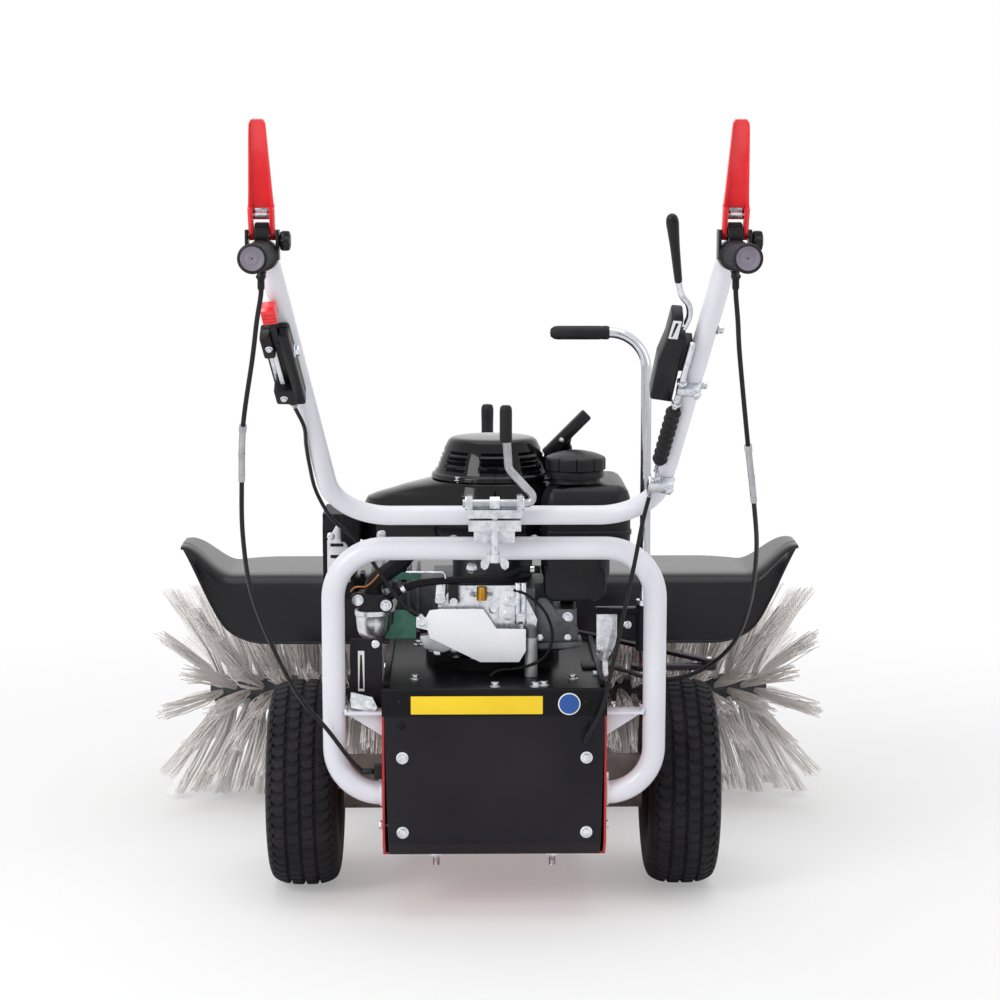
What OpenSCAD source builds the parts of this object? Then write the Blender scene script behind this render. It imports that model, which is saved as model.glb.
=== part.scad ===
// Walk-behind power brush sweeper with a petrol engine.
// X runs to the operator's right, Y runs forward, Z runs up from the floor.
// Lengths are millimetres. Inside the file Y is counted from the drive wheels' shaft.

/* [Drive wheels] */
// Outer diameter of the drive tyres
tyre_d = 320; // [300:2:330]
// Width of the drive tyres
tyre_w = 110; // [100:2:124]
// Distance between the middle planes of the drive wheels
track = 584; // [576:2:640]
// Diameter of the rims under the tyre beads
rim_d = 152; // [136:2:164]
// Diameter of the wheel shafts
axle_d = 25; // [20:1:28]

/* [Base box] */
// Width over the box's side plates
box_w = 332; // [310:2:336]
// Height of the box's upper edge
box_top = 350; // [340:1:352]
// Height of the box's underside
box_bottom = 96; // [88:1:104]
// Back edge of the side plates, behind the wheel shaft
box_back = 215; // [212:1:226]
// Front wall of the box, ahead of the wheel shaft
box_front = 172; // [166:1:180]
// Thickness of the welded plates
plate_t = 4; // [3:0.5:5]
// Thickness of the rear cover's sheet
cover_t = 2.5; // [1.5:0.5:3]
// Radius of the two studs under the box
stud_r = 5; // [4:0.5:6]
// Distance between the two studs
stud_gap = 174; // [140:2:200]

/* [Frame and handlebar] */
// Radius of the frame loop's tube
frame_r = 17; // [14:0.5:18]
// Half width of the frame loop between tube axes
frame_half = 237; // [232:1:250]
// Height of the frame loop's upper tube
frame_top = 560; // [552:1:568]
// Radius of the handlebar's tube
bar_r = 14; // [12:0.5:15]
// Height of the handlebar's lower cross tube
bar_low = 611; // [606:1:616]
// Half distance between the two hand grips
grip_half = 296; // [280:2:310]
// Height of the hand grips
grip_z = 1000; // [960:5:1030]
// Back end of the handlebar tube, behind the wheel shaft
bar_back = 785; // [770:5:800]
// Radius of the hand grips
grip_r = 17; // [16:0.5:19]
// Length of the hand grips
grip_l = 122; // [100:2:126]
// Length of the red hand levers from pivot to tip
lever_l = 154; // [130:2:160]
// Backward lean of the hand levers at rest, in degrees
lever_lean = 25; // [15:1:30]

/* [Engine] */
// Engine shaft, ahead of the wheel shaft
engine_y = 10; // [4:1:16]
// Radius of the engine shaft
crank_r = 12.5; // [11:0.5:14]
// Radius of the fan housing around the shaft
fan_r = 116; // [110:1:120]
// Height of the fan housing's lower rim
fan_low = 545; // [540:1:550]
// Height of the fan housing's top
fan_top = 640; // [632:1:646]
// Height of the starter cover's crown
starter_top = 704; // [696:1:712]
// Radius of the starter cover at its foot
starter_r = 92; // [86:1:95]
// Radius of the fuel filler cap
cap_r = 46; // [38:1:47]

/* [Brush] */
// Diameter over the bristle tips
brush_d = 380; // [370:2:384]
// Brush shaft, ahead of the wheel shaft
brush_y = 540; // [530:2:550]
// Half length of the brush core
core_half = 492; // [460:4:500]
// Radius of the brush core
core_r = 22; // [20:0.5:24]
// Outward reach of the outermost tufts past their root
tuft_flare = 84; // [40:2:90]
// Tufts around the core in one row
tufts_around = 9; // [8:1:10]
// Rows of tufts on each half of the brush
tuft_rows = 18; // [16:1:18]
// Half width of the brush guard
guard_half = 522; // [500:2:550]
// Height of the guard's top
guard_top = 430; // [426:1:440]
// Thickness of the guard's shell
guard_t = 3; // [2:0.5:3.5]

/* [Steering and support wheel] */
// Swing pivot of the brush arm, ahead of the wheel shaft
pivot_y = 235; // [230:1:240]
// Radius of the swing pivot pins
pivot_r = 10; // [8:0.5:12]
// Length of the equal steering cranks
steer_r = 100; // [90:1:106]
// Sideways place of the upright steering rod
rod_x = 232; // [228:1:238]
// Radius of the steering rod
rod_r = 8; // [6:0.5:9]
// Height of the steering grip
rod_top = 867; // [840:1:890]
// Support wheel's swivel axis, ahead of the wheel shaft
castor_y = 832; // [826:2:850]
// Radius of the support wheel
castor_r = 62; // [56:1:66]
// Trail of the support wheel behind its swivel axis
castor_trail = 35; // [28:1:38]

/* [Hidden] */
$fn = 48;
// Running clearance between pieces that move on each other
run = 0.3;
// Play of a shaft seated in a hub
seat = 0.05;
wheel_x = track / 2;
axle_z = tyre_d / 2;
axle_r = axle_d / 2;
rim_r = rim_d / 2;
rim_half = 38;
box_half = box_w / 2;
side_in = box_half - plate_t;
deck_t = 4;
deck_top = box_top + deck_t;
corner_cut = 24;
stud_y = -175;
stud_nut_h = 6;
stud_end = 14;
brush_z = brush_d / 2 + 1.5;
gear_half = 62;
housing_r = 42;
drive_in_y = -88;
brush_in_y = 125;
belt_h = 10;
belt_t = 7;
drive_belt_z = 271;
brush_belt_z = 309;
crank_pulley_r = 38;
drive_pulley_r = 52;
brush_pulley_r = 42;
pulley_h = 18;
shaft_r = 8;
frame_y0 = -190;
frame_y1 = -200;
frame_foot = 190;
frame_bend = min(70, frame_half - box_half - run - 0.5);
bar_y = -215;
bar_knee = [grip_half - 65, bar_y, bar_low];
bar_elbow = [grip_half, -575, grip_z];
clamp_half = 38;
bolt_y = -250;
cam_y = bolt_y;
cam_z = bar_low + 22;
cam_r = 6;
jaw_h = 17;
eye_r = 10;
lever_y = -640;
lever_z = grip_z + 24;
lug_half = 9;
pin_r = 3;
cable_r = 3.2;
crank_z = 349.5;
crank_t = 8;
link_z = crank_z + crank_t + 0.5;
link_t = 8;
link_pin_r = 5;
steer_y = -60;
bush_r = 13;
boom_half = 18;
boom_top = guard_top - guard_t - 0.1;
boom_h = 36;
post_y = 360;
tube_r = 24;
box_gear_half = 42;
sleeve_r = 22;
column_r = 17;
sleeve_low = 290;
sleeve_top = 590;
column_low = 152;
column_top = 500;
fork_in = 22;
castor_w = 36;
screw_r = 6;
castor_arm = 62;
tank_low = 492;
tank_belly = 466;
tank_waist = 540;
tank_top = 648;
tank_x0 = 72;
tank_x1 = 207;
tank_x2 = 174;
cap_pos = [125, -62, tank_top];
pull_dir = [0, -0.6, 0.8];
starter_at = [114, -2, 707];
rear_end = -bar_back - 3;
front_end = max(castor_y + sleeve_r, castor_y - castor_trail + castor_r);
origin_y = (front_end + rear_end) / 2;

red_paint = "#c4161c";
black_paint = "#1d1e20";
grey_coat = "#b9bac4";
zinc = "#c9cac6";
cast_alu = "#9fa2a3";
rubber = "#17181a";
black_plastic = "#222326";
bristle_white = "#e6e2d2";

function unit(v) = v / norm(v);
function slerp(a, b, s, w) = (sin((1 - s) * w) * a + sin(s * w) * b) / sin(w);
// Points of a round corner at b, on the way from a to c
function corner(a, b, c, r, n) =
    let (u = unit(a - b), v = unit(c - b), w = acos(u * v), t = r / tan(w / 2),
         m = b + unit(u + v) * r / sin(w / 2))
    [for (i = [0 : n]) m + slerp(b + u * t - m, b + v * t - m, i / n, 180 - w)];
// A path whose inner points are rounded with one radius each
function rounded(p, r, n) =
    [p[0], for (i = [1 : len(p) - 2]) each corner(p[i - 1], p[i], p[i + 1], r[i - 1], n), p[len(p) - 1]];
// A smooth curve through hand-chosen points
function smooth_at(p, i, s) =
    let (a = p[max(i - 1, 0)], b = p[i], c = p[i + 1], d = p[min(i + 2, len(p) - 1)])
    0.5 * (2 * b + (c - a) * s + (2 * a - 5 * b + 4 * c - d) * s * s + (3 * b - a - 3 * c + d) * s * s * s);
function smooth(p, n) = [for (i = [0 : len(p) - 2], k = [0 : n - 1]) smooth_at(p, i, k / n), p[len(p) - 1]];
function tangents(p) =
    [for (i = [0 : len(p) - 1]) unit(
        (i < len(p) - 1 ? unit(p[i + 1] - p[i]) : [0, 0, 0]) + (i > 0 ? unit(p[i] - p[i - 1]) : [0,
            0, 0]))];
function start_normal(t) = unit(cross(t, abs(t[2]) < 0.8 ? [0, 0, 1] : [0, 1, 0]));
function normals(t, i, n) =
    i == len(t) ? [] : let (m = unit(n - t[i] * (n * t[i]))) concat([m], normals(t, i + 1, m));

// A round bar swept along a path
module sweep(p, r, k) {
    t = tangents(p);
    n = normals(t, 0, start_normal(t[0]));
    m = len(p);
    ring = [for (i = [0 : m - 1], j = [0 : k - 1])
        p[i] + r * (cos(360 * j / k) * n[i] + sin(360 * j / k) * cross(t[i], n[i]))];
    side = [for (i = [0 : m - 2], j = [0 : k - 1])
        each [[i * k + j, (i + 1) * k + j, (i + 1) * k + (j + 1) % k],
              [i * k + j, (i + 1) * k + (j + 1) % k, i * k + (j + 1) % k]]];
    foot = [for (j = [1 : k - 2]) [0, j, j + 1]];
    head = [for (j = [1 : k - 2]) [(m - 1) * k, (m - 1) * k + j + 1, (m - 1) * k + j]];
    polyhedron(points = ring, faces = concat(side, foot, head));
}

module placed() {
    translate([0, -origin_y, 0])
        children();
}

// A block from corner a to corner b
module block(a, b) {
    translate(a)
        cube(b - a);
}

// A round bar along X, Y or Z, from its start point
module bar_x(p, r, l) {
    translate(p)
        rotate([0, 90, 0])
            cylinder(r = r, h = l);
}

module bar_y(p, r, l) {
    translate(p)
        rotate([-90, 0, 0])
            cylinder(r = r, h = l);
}

module bar_z(p, r, l) {
    translate(p)
        cylinder(r = r, h = l);
}

module hex_z(p, r, l) {
    translate(p)
        cylinder(r = r, h = l, $fn = 6);
}

module hex_back(p, r, l) {
    translate(p)
        rotate([90, 0, 0])
            cylinder(r = r, h = l, $fn = 6);
}

// A flat plate drawn in Y and Z, with its thickness along X
module plate_x(points, x, t) {
    translate([x, 0, 0])
        rotate([90, 0, 90])
            linear_extrude(height = t)
                polygon(points);
}

// A flat plate drawn in X and Z, with its thickness along Y
module plate_y(points, y, t) {
    translate([0, y + t, 0])
        rotate([90, 0, 0])
            linear_extrude(height = t)
                polygon(points);
}

module both_sides() {
    children();
    mirror([1, 0, 0])
        children();
}

// Frame of the handlebar's right arm: local Z runs up the arm, local X outward
arm_z = unit(bar_elbow - bar_knee);
arm_x = unit([1, 0, 0] - arm_z * arm_z[0]);
arm_y = cross(arm_z, arm_x);
module on_arm() {
    multmatrix([[arm_x[0], arm_y[0], arm_z[0], bar_knee[0]],
                [arm_x[1], arm_y[1], arm_z[1], bar_knee[1]],
                [arm_x[2], arm_y[2], arm_z[2], bar_knee[2]],
                [0, 0, 0, 1]])
        children();
}
function arm_point(v) = bar_knee + arm_x * v[0] + arm_y * v[1] + arm_z * v[2];

// Drive wheels
tread_half = tyre_w / 2 - 26;
function tyre_section(r, w) = [
    [rim_r, rim_half], [rim_r + 20, w - 4], [rim_r + 40, w], [r - 18, w - 2], [r - 6, w - 12], [r,
        tread_half],
    [r, -tread_half], [r - 6, 12 - w], [r - 18, 2 - w], [rim_r + 40, -w], [rim_r + 20, 4 - w],
    [rim_r, -rim_half],
    [rim_r, 8 - rim_half], [rim_r + 20, 12 - w], [rim_r + 40, 8 - w], [r - 20, 12 - w], [r - 12,
    -tread_half],
    [r - 12, tread_half], [r - 20, w - 12], [rim_r + 40, w - 8], [rim_r + 20, w - 12], [rim_r,
    rim_half - 8]];
groove_w = 5;
groove_h = 5;

module tyre() {
    color(rubber)
        translate([wheel_x, 0, axle_z])
            rotate([0, 90, 0])
                difference() {
                    rotate_extrude()
                        polygon(tyre_section(axle_z, tyre_w / 2));
                    for (k = [-1 : 1])
                        rotate_extrude()
                            translate([axle_z - groove_h, k * tread_half * 0.7 - groove_w / 2])
                                square([groove_h + 1, groove_w]);
                }
}

wheel_hub_r = 24;
wheel_hub_half = 32;
disc_half = 3;
nut_h = 12;
nut_r = 19;
module wheel_hub() {
    color(zinc) {
        translate([wheel_x, 0, axle_z])
            rotate([0, 90, 0])
                rotate_extrude()
                    polygon([[axle_r - 1, -wheel_hub_half], [wheel_hub_r, -wheel_hub_half],
                        [wheel_hub_r, -disc_half], [rim_r - 5, -disc_half], [rim_r - 5, -rim_half],
                        [rim_r, -rim_half], [rim_r, rim_half], [rim_r - 5, rim_half], [rim_r - 5,
                        disc_half],
                        [wheel_hub_r, disc_half], [wheel_hub_r, wheel_hub_half], [axle_r - 1,
                        wheel_hub_half]]);
        bar_x([gear_half - 26, 0, axle_z], axle_r, wheel_x + wheel_hub_half - gear_half + 26 + nut_h + 4);
        translate([wheel_x + wheel_hub_half, 0, axle_z])
            rotate([0, 90, 0])
                cylinder(r = nut_r, h = nut_h, $fn = 6);
    }
}

module tyre_right() {
    placed()
        tyre();
}

module tyre_left() {
    placed()
        mirror([1, 0, 0])
            tyre();
}

module hub_right() {
    placed()
        wheel_hub();
}

module hub_left() {
    placed()
        mirror([1, 0, 0])
            wheel_hub();
}

// Welded base box with the two pivot plates of the brush arm and two cable lugs
pivot_gap = 62;
pivot_plate = 8;
pivot_half = 36;
side_shape = [[-box_back, box_top], [-box_back, box_bottom + corner_cut],
    [-box_back + corner_cut, box_bottom], [box_front, box_bottom], [box_front, box_top]];
lug_left = [-box_half - 12, -210, 216];
module base_box() {
    color(red_paint)
        placed()
            difference() {
                union() {
                    plate_x(side_shape, side_in, plate_t);
                    plate_x(side_shape, -box_half, plate_t);
                    block([-box_half, corner_cut - box_back, box_bottom],
                        [box_half, box_front, box_bottom + plate_t]);
                    block([-box_half, box_front - plate_t, box_bottom], [box_half, box_front, box_top]);
                    for (s = [-1, 1]) {
                        bar_z([0, pivot_y, brush_z + s * (pivot_gap + pivot_plate / 2) - pivot_plate / 2],
                            pivot_half, pivot_plate);
                        block([-pivot_half, box_front - 1,
                               brush_z + s * (pivot_gap + pivot_plate / 2) - pivot_plate / 2],
                              [pivot_half, pivot_y,
                               brush_z + s * (pivot_gap + pivot_plate / 2) + pivot_plate / 2]);
                    }
                    block(lug_left, [-box_half, lug_left[1] + 16, lug_left[2] + 20]);
                }
                for (s = [-1, 1])
                    bar_x([s * box_half - plate_t - 2, 0, axle_z], housing_r + run, 2 * plate_t + 4);
                bar_y([0, box_front - plate_t - 2, brush_z], shaft_r + 2, plate_t + 4);
                bar_z([0, pivot_y, brush_z - 2 * pivot_gap], pivot_r + run, 4 * pivot_gap);
                for (s = [-1, 1])
                    bar_z([s * stud_gap / 2, stud_y, box_bottom - 5], stud_r + run, plate_t + 10);
            }
}

// Sheet cover over the back of the box
cover_gap = 0.3;
module rear_cover() {
    y0 = -box_back - cover_gap - cover_t;
    y1 = -box_back - cover_gap;
    z1 = box_top - 1;
    bend = box_bottom + corner_cut;
    slope = cover_t * 0.4142;
    wide = box_half - 2.5;
    narrow = box_half - 9;
    color(black_paint)
        placed()
            difference() {
                intersection() {
                    plate_x([[y1, z1], [y1, bend - cover_gap], [y1 + corner_cut,
                        bend - cover_gap - corner_cut],
                        [y0 + corner_cut + cover_t - slope - cover_t,
                        bend - corner_cut - slope - cover_gap],
                        [y0, bend - slope - cover_gap], [y0, z1]], -wide, 2 * wide);
                    plate_y([[-wide, z1 + 1], [-narrow, box_bottom - 10], [narrow,
                        box_bottom - 10], [wide, z1 + 1]],
                        y0 - 40, 120);
                }
                for (x = [-bolt_x, bolt_x], z = bolt_rows)
                    bar_y([x, y0 - 5, z], bolt_shank + run, 20);
            }
}
bolt_x = 136;
bolt_shank = 4;
bolt_rows = [137, 250, 299];

// Bolts of the rear cover and the two studs with nuts under the box
module box_bolts() {
    y0 = -box_back - cover_gap - cover_t;
    color(zinc)
        placed() {
            for (x = [-bolt_x, bolt_x], z = bolt_rows)
                union() {
                    hex_back([x, y0, z], z == bolt_rows[2] ? 6 : 9, z == bolt_rows[2] ? 3 : 7);
                    bar_y([x, y0 - 1, z], bolt_shank, cover_t + 8);
                }
            for (s = [-1, 1])
                union() {
                    bar_z([s * stud_gap / 2, stud_y, box_bottom - stud_nut_h - stud_end], stud_r,
                        stud_end + 1);
                    bar_z([s * stud_gap / 2, stud_y, box_bottom - stud_nut_h], stud_r - 0.7,
                        stud_nut_h + plate_t + 2);
                    hex_z([s * stud_gap / 2, stud_y, box_bottom - stud_nut_h], stud_r * 1.9, stud_nut_h);
                    hex_z([s * stud_gap / 2, stud_y, box_bottom + plate_t], stud_r * 1.9, 7);
                }
        }
}

// Engine deck, a plate that closes the box
module deck() {
    color(black_paint)
        placed()
            difference() {
                block([-box_half, -box_back + 1, box_top], [box_half, box_front, deck_top]);
                bar_z([0, engine_y, box_top - 2], 40, deck_t + 4);
            }
}

// Tube loop behind the engine, with its two gussets to the box
frame_path = [[box_half + run, frame_y0, frame_foot], [frame_half, frame_y0, frame_foot],
    [frame_half, frame_y1, frame_top], [-frame_half, frame_y1, frame_top],
    [-frame_half, frame_y0, frame_foot], [-box_half - run, frame_y0, frame_foot]];
gusset_z = 312;
module frame_loop() {
    color(grey_coat)
        placed() {
            sweep(rounded(frame_path, [frame_bend, 75, 75, frame_bend], 7), frame_r, 20);
            both_sides()
                union() {
                    block([box_half + run, -208, gusset_z], [frame_half - frame_r - 0.6, -176,
                        gusset_z + 6]);
                    plate_y([[box_half + run, gusset_z + 1], [box_half + run, gusset_z - 34],
                        [frame_half - frame_r - 0.6, gusset_z + 1]], -195, 6);
                }
        }
}

// Gearbox of the wheel drive with the two shaft housings
module transaxle() {
    color(cast_alu)
        placed()
            difference() {
                union() {
                    bar_x([-gear_half, 0, axle_z], 50, 2 * gear_half);
                    block([-40, -112, axle_z - 30], [40, 0, axle_z + 58]);
                    both_sides()
                        bar_x([gear_half - 4, 0, axle_z], housing_r, wheel_x - tyre_w / 2 - gear_half - 1);
                }
                both_sides()
                    bar_x([gear_half - 30, 0, axle_z], axle_r + run, wheel_x);
                bar_z([0, drive_in_y, axle_z + 26], shaft_r + run, 60);
            }
}

// Angle gearbox of the brush drive behind the box's front wall
module angle_box() {
    color(cast_alu)
        placed()
            difference() {
                block([-box_gear_half, 78, brush_z - 42], [box_gear_half, box_front - plate_t,
                    brush_z + 45]);
                bar_z([0, brush_in_y, brush_z + 12], shaft_r + run, 60);
                bar_y([0, 118, brush_z], shaft_r + run, 80);
            }
}

// A grooved pulley for a belt at its middle height
module pulley(p, r, z) {
    translate([p[0], p[1], z])
        rotate_extrude()
            polygon([[p[2] - 1, -pulley_h / 2], [r, -pulley_h / 2], [r, -belt_h / 2 - 0.5],
                [r - belt_t - 0.5, -belt_h / 2 - 0.5], [r - belt_t - 0.5, belt_h / 2 + 0.5],
                [r, belt_h / 2 + 0.5], [r, pulley_h / 2], [p[2] - 1, pulley_h / 2]]);
}

module drive_input() {
    color(zinc)
        placed() {
            bar_z([0, drive_in_y, axle_z + 28], shaft_r, drive_belt_z + 14 - axle_z - 28);
            pulley([0, drive_in_y, shaft_r], drive_pulley_r, drive_belt_z);
        }
}

module brush_input() {
    color(zinc)
        placed() {
            bar_z([0, brush_in_y, brush_z + 14], shaft_r, brush_belt_z + 14 - brush_z - 14);
            pulley([0, brush_in_y, shaft_r], brush_pulley_r, brush_belt_z);
        }
}

// Two belts from the engine's double pulley
module belt(ya, ra, yb, rb, z) {
    translate([0, 0, z - belt_h / 2])
        linear_extrude(height = belt_h)
            difference() {
                hull() {
                    translate([0, ya])
                        circle(r = ra);
                    translate([0, yb])
                        circle(r = rb);
                }
                hull() {
                    translate([0, ya])
                        circle(r = ra - belt_t + 0.1);
                    translate([0, yb])
                        circle(r = rb - belt_t + 0.1);
                }
            }
}

module belts() {
    color(rubber)
        placed() {
            belt(engine_y, crank_pulley_r, drive_in_y, drive_pulley_r, drive_belt_z);
            belt(engine_y, crank_pulley_r, brush_in_y, brush_pulley_r, brush_belt_z);
        }
}

// Engine shaft with its double pulley and the flywheel under the fan housing
module crankshaft() {
    color(zinc)
        placed() {
            bar_z([0, engine_y, drive_belt_z - 14], crank_r, fan_low + 66 - drive_belt_z + 14);
            pulley([0, engine_y, crank_r], crank_pulley_r, drive_belt_z);
            pulley([0, engine_y, crank_r], crank_pulley_r, brush_belt_z);
            bar_z([0, engine_y, fan_low + 30], fan_r - 30, 24);
        }
}

// Drive shaft from the angle gearbox to the ball in the swing pivot
ball_r = 13;
module pto_shaft() {
    color(zinc)
        placed() {
            bar_y([0, 120, brush_z], shaft_r, pivot_y - 120);
            translate([0, pivot_y, brush_z])
                sphere(r = ball_r);
        }
}

// Crankcase with finned cylinder, drain pipe and plug
case_low = deck_top;
case_top = 520;
fin_n = 6;
module crankcase() {
    color(cast_alu)
        placed()
            difference() {
                union() {
                    bar_z([0, engine_y, case_low], 104, 18);
                    block([-92, engine_y - 82, case_low + 10], [92, engine_y + 92, tank_low - 6]);
                    block([-70, -122, 384], [62, engine_y, 486]);
                    block([50, -108, 398], [126, -30, 452]);
                    bar_z([0, engine_y, tank_low - 10], 62, case_top - tank_low + 10);
                    block([-187, -34, 420], [-80, 70, 482]);
                    for (k = [0 : fin_n - 1])
                        block([-118 - 14 * k, -46, 406], [-113 - 14 * k, 82, 496]);
                    bar_z([56, -132, case_low], 9, 76);
                    bar_y([56, -134, case_low + 67], 9, 36);
                    bar_z([-140, 20, 470], 7, 50);
                    bar_z([-140, 20, 500], 11, 24);
                }
                bar_z([0, engine_y, case_low - 2], crank_r + run, case_top);
                bar_z([0, engine_y, case_low - 2], 30, 20);
            }
}

// Glossy fan housing, hollow, open below
lobe = [-146, 14];
module fan_shape(d, lift) {
    hull() {
        translate([0, engine_y, fan_low - lift])
            cylinder(r = fan_r - d, h = 46 + lift - d, $fn = 40);
        translate([0, engine_y, fan_low])
            cylinder(r = starter_r + 4 - d, h = fan_top - fan_low - d, $fn = 40);
        translate([lobe[0], lobe[1], fan_low - lift])
            cylinder(r = 60 - d, h = 40 + lift - d, $fn = 32);
        translate([lobe[0], lobe[1], fan_low])
            cylinder(r = 44 - d, h = 68 - d, $fn = 32);
    }
}

module blower_housing() {
    color(black_plastic)
        placed()
            difference() {
                fan_shape(0, 0);
                fan_shape(3, 5);
                bar_z([0, engine_y, fan_low], starter_r - 22, 200);
                bar_z([-140, 20, fan_low - 10], 14, 40);
            }
}

// Starter cover with a ring of slots in its flank
slot_n = 16;
module recoil_cover() {
    h = starter_top - fan_top;
    color(black_plastic)
        placed()
            translate([0, engine_y, fan_top])
                difference() {
                    union() {
                        block([starter_r - 10, 9 - engine_y, 8], [starter_at[0] + 9, 27 - engine_y,
                            h - 21.2]);
                        translate(starter_at - [0, engine_y, fan_top])
                            rotate([36.87, 0, 0])
                                translate([0, 0, -54.4])
                                    cylinder(r = 9, h = 30);
                        rotate_extrude()
                            polygon([[0, h - 3.4], [52, h - 8], [66, h - 15], [starter_r - 13, h - 26],
                                [starter_r - 4, 8], [starter_r - 4, 0], [starter_r, 0], [starter_r, 8],
                                [starter_r - 9, h - 24], [70, h - 12], [54, h - 5], [0, h]]);
                    }
                    for (k = [0 : slot_n - 1])
                        rotate([0, 0, 360 * (k + 0.5) / slot_n])
                            translate([starter_r - 18, -5, 12])
                                cube([24, 10, h - 44]);
                }
}

// Starter grip, a T bar with its stem and a short end of rope
module starter_grip() {
    color(black_plastic)
        placed()
            translate(starter_at) {
                rotate([0, 45, 0])
                    translate([0, 0, -32])
                        cylinder(r = 9.5, h = 64);
                rotate([36.87, 0, 0])
                    translate([0, 0, -24])
                        cylinder(r = 7, h = 24);
            }
}

// Fuel tank, wrapped round the fan housing
module fuel_tank() {
    color(black_plastic)
        placed()
            difference() {
                union() {
                    block([tank_x0 + 12, -124, tank_low], [tank_x2, 92, tank_top - 8]);
                    block([tank_x0, -112, tank_low + 10], [tank_x2 + 6, 80, tank_top - 22]);
                    block([tank_x2 - 20, -112, tank_waist], [tank_x1, 80, tank_top - 22]);
                    block([tank_x0 + 6, -122, tank_belly], [tank_x2 - 4, -78, tank_low + 12]);
                    bar_z([cap_pos[0], cap_pos[1], tank_top - 20], cap_r - 6, 20 - run);
                    block([104, -60, 452 + run], [124, -36, tank_low + 4]);
                }
                bar_z([0, engine_y, tank_low - 10], fan_r + 1, 300);
                bar_z([cap_pos[0], cap_pos[1], tank_top - 40], cap_r - 12, 60);
                block([tank_x0 + 20, -104, tank_low + 16], [tank_x2 - 12, -20, tank_top - 30]);
            }
}

// Fluted fuel cap
flute_n = 18;
module fuel_cap() {
    color(black_plastic)
        placed()
            translate(cap_pos)
                difference() {
                    union() {
                        rotate_extrude()
                            polygon([[0, 2], [cap_r - 5, 2], [cap_r - 5, 0], [cap_r, 4], [cap_r, 24],
                                [cap_r - 6, 31], [cap_r - 20, 38], [0, 42]]);
                        translate([0, 0, -14])
                            cylinder(r = cap_r - 12 - run, h = 20);
                    }
                    for (k = [0 : flute_n - 1])
                        rotate([0, 0, 360 * k / flute_n])
                            translate([cap_r + 1.5, 0, -1])
                                cylinder(r = 4.5, h = 26, $fn = 16);
                }
}

// Carburettor with bowl, intake elbow, green heat plate and fuel line
carb = [-183, -120, 450];
module carburettor() {
    color(cast_alu)
        placed() {
            union() {
                bar_z([carb[0], carb[1], 410], 19, 40);
                bar_z([carb[0], carb[1], 402], 6, 12);
                block([carb[0] - 20, carb[1] - 22, 446], [carb[0] + 20, carb[1] + 20, 480]);
                bar_y([-160, -102, 462], 13, 55.5);
                block([-176, -104, 450], [-150, -98, 476]);
            }
            color("#3f8f4c")
                plate_y([[-150, 457], [-118, 457], [-112, 430], [-118, 402], [-146, 402]], -98, 2.5);
            color(black_plastic)
                sweep(smooth([[carb[0] + 2, carb[1] - 4, 480.3], [carb[0] + 4, carb[1] - 6, 497],
                    [-160, carb[1] - 6, 512], [-138, carb[1] - 4, 528], [-128, -96, 538]], 4), 13, 16);
            color(rubber)
                sweep(smooth([[tank_x0 - 0.8, -102, 512], [42, -103, 511.5], [8, -124, 504],
                    [-70, -134, 501], [-116, -136, 496], [-150, -135, 480], [-161.5, -131, 470]],
                    4), 4.5, 8);
        }
}

// Governor plate on the crankcase and the pale cover in front of it
module control_plate() {
    color(cast_alu)
        placed()
            difference() {
                union() {
                    plate_y([[-78, 400], [58, 400], [66, 440], [40, 492], [-60, 492], [-84, 462]],
                        -126, 3.7);
                    for (p = [[-60, 470], [30, 470], [-50, 440], [40, 446]])
                        bar_y([p[0], -143.5, p[1]], 6, 18);
                }
                bar_y([56, -150, case_low + 67], 10, 60);
                bar_z([56, -132, case_low], 10, 76);
            }
}

module control_cover() {
    color("#dcdcd6")
        placed()
            plate_y([[-116, 450], [-80, 460], [-16, 460], [4, 430], [48, 429], [48, 396], [38, 379],
                [-20, 379], [-96, 416], [-116, 432]], -147, 3.2);
}

// Muffler with a slotted guard, left of the cylinder
module muffler() {
    color(zinc)
        placed()
            difference() {
                union() {
                    block([-262, -18, 452], [-214, 96, 586]);
                    bar_x([-216, 26, 450 + 16], 15, 28);
                    block([-206, 8, 444], [-199.5, 44, 488]);
                }
                for (k = [0 : 5])
                    block([-270, -2 + 15 * k, 470], [-256, 6 + 15 * k, 568]);
                bar_y([-238, 70, 476], 11, 60);
            }
}

// Lower clamp block on the frame tube and its cap over the handlebar
module clamp_saddle() {
    color(zinc)
        placed()
            difference() {
                union() {
                    block([-clamp_half, -264, bar_low - jaw_h], [clamp_half, -186, bar_low - 1]);
                    block([8 - clamp_half, -214, frame_top + 6], [clamp_half - 8, -188,
                        bar_low - jaw_h + 1]);
                }
                bar_x([-60, frame_y1, frame_top], frame_r + 0.1, 120);
                bar_x([-60, bar_y, bar_low], bar_r + run, 120);
                bar_z([0, bolt_y, bar_low - 40], 5 + run, 60);
            }
}

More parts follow.
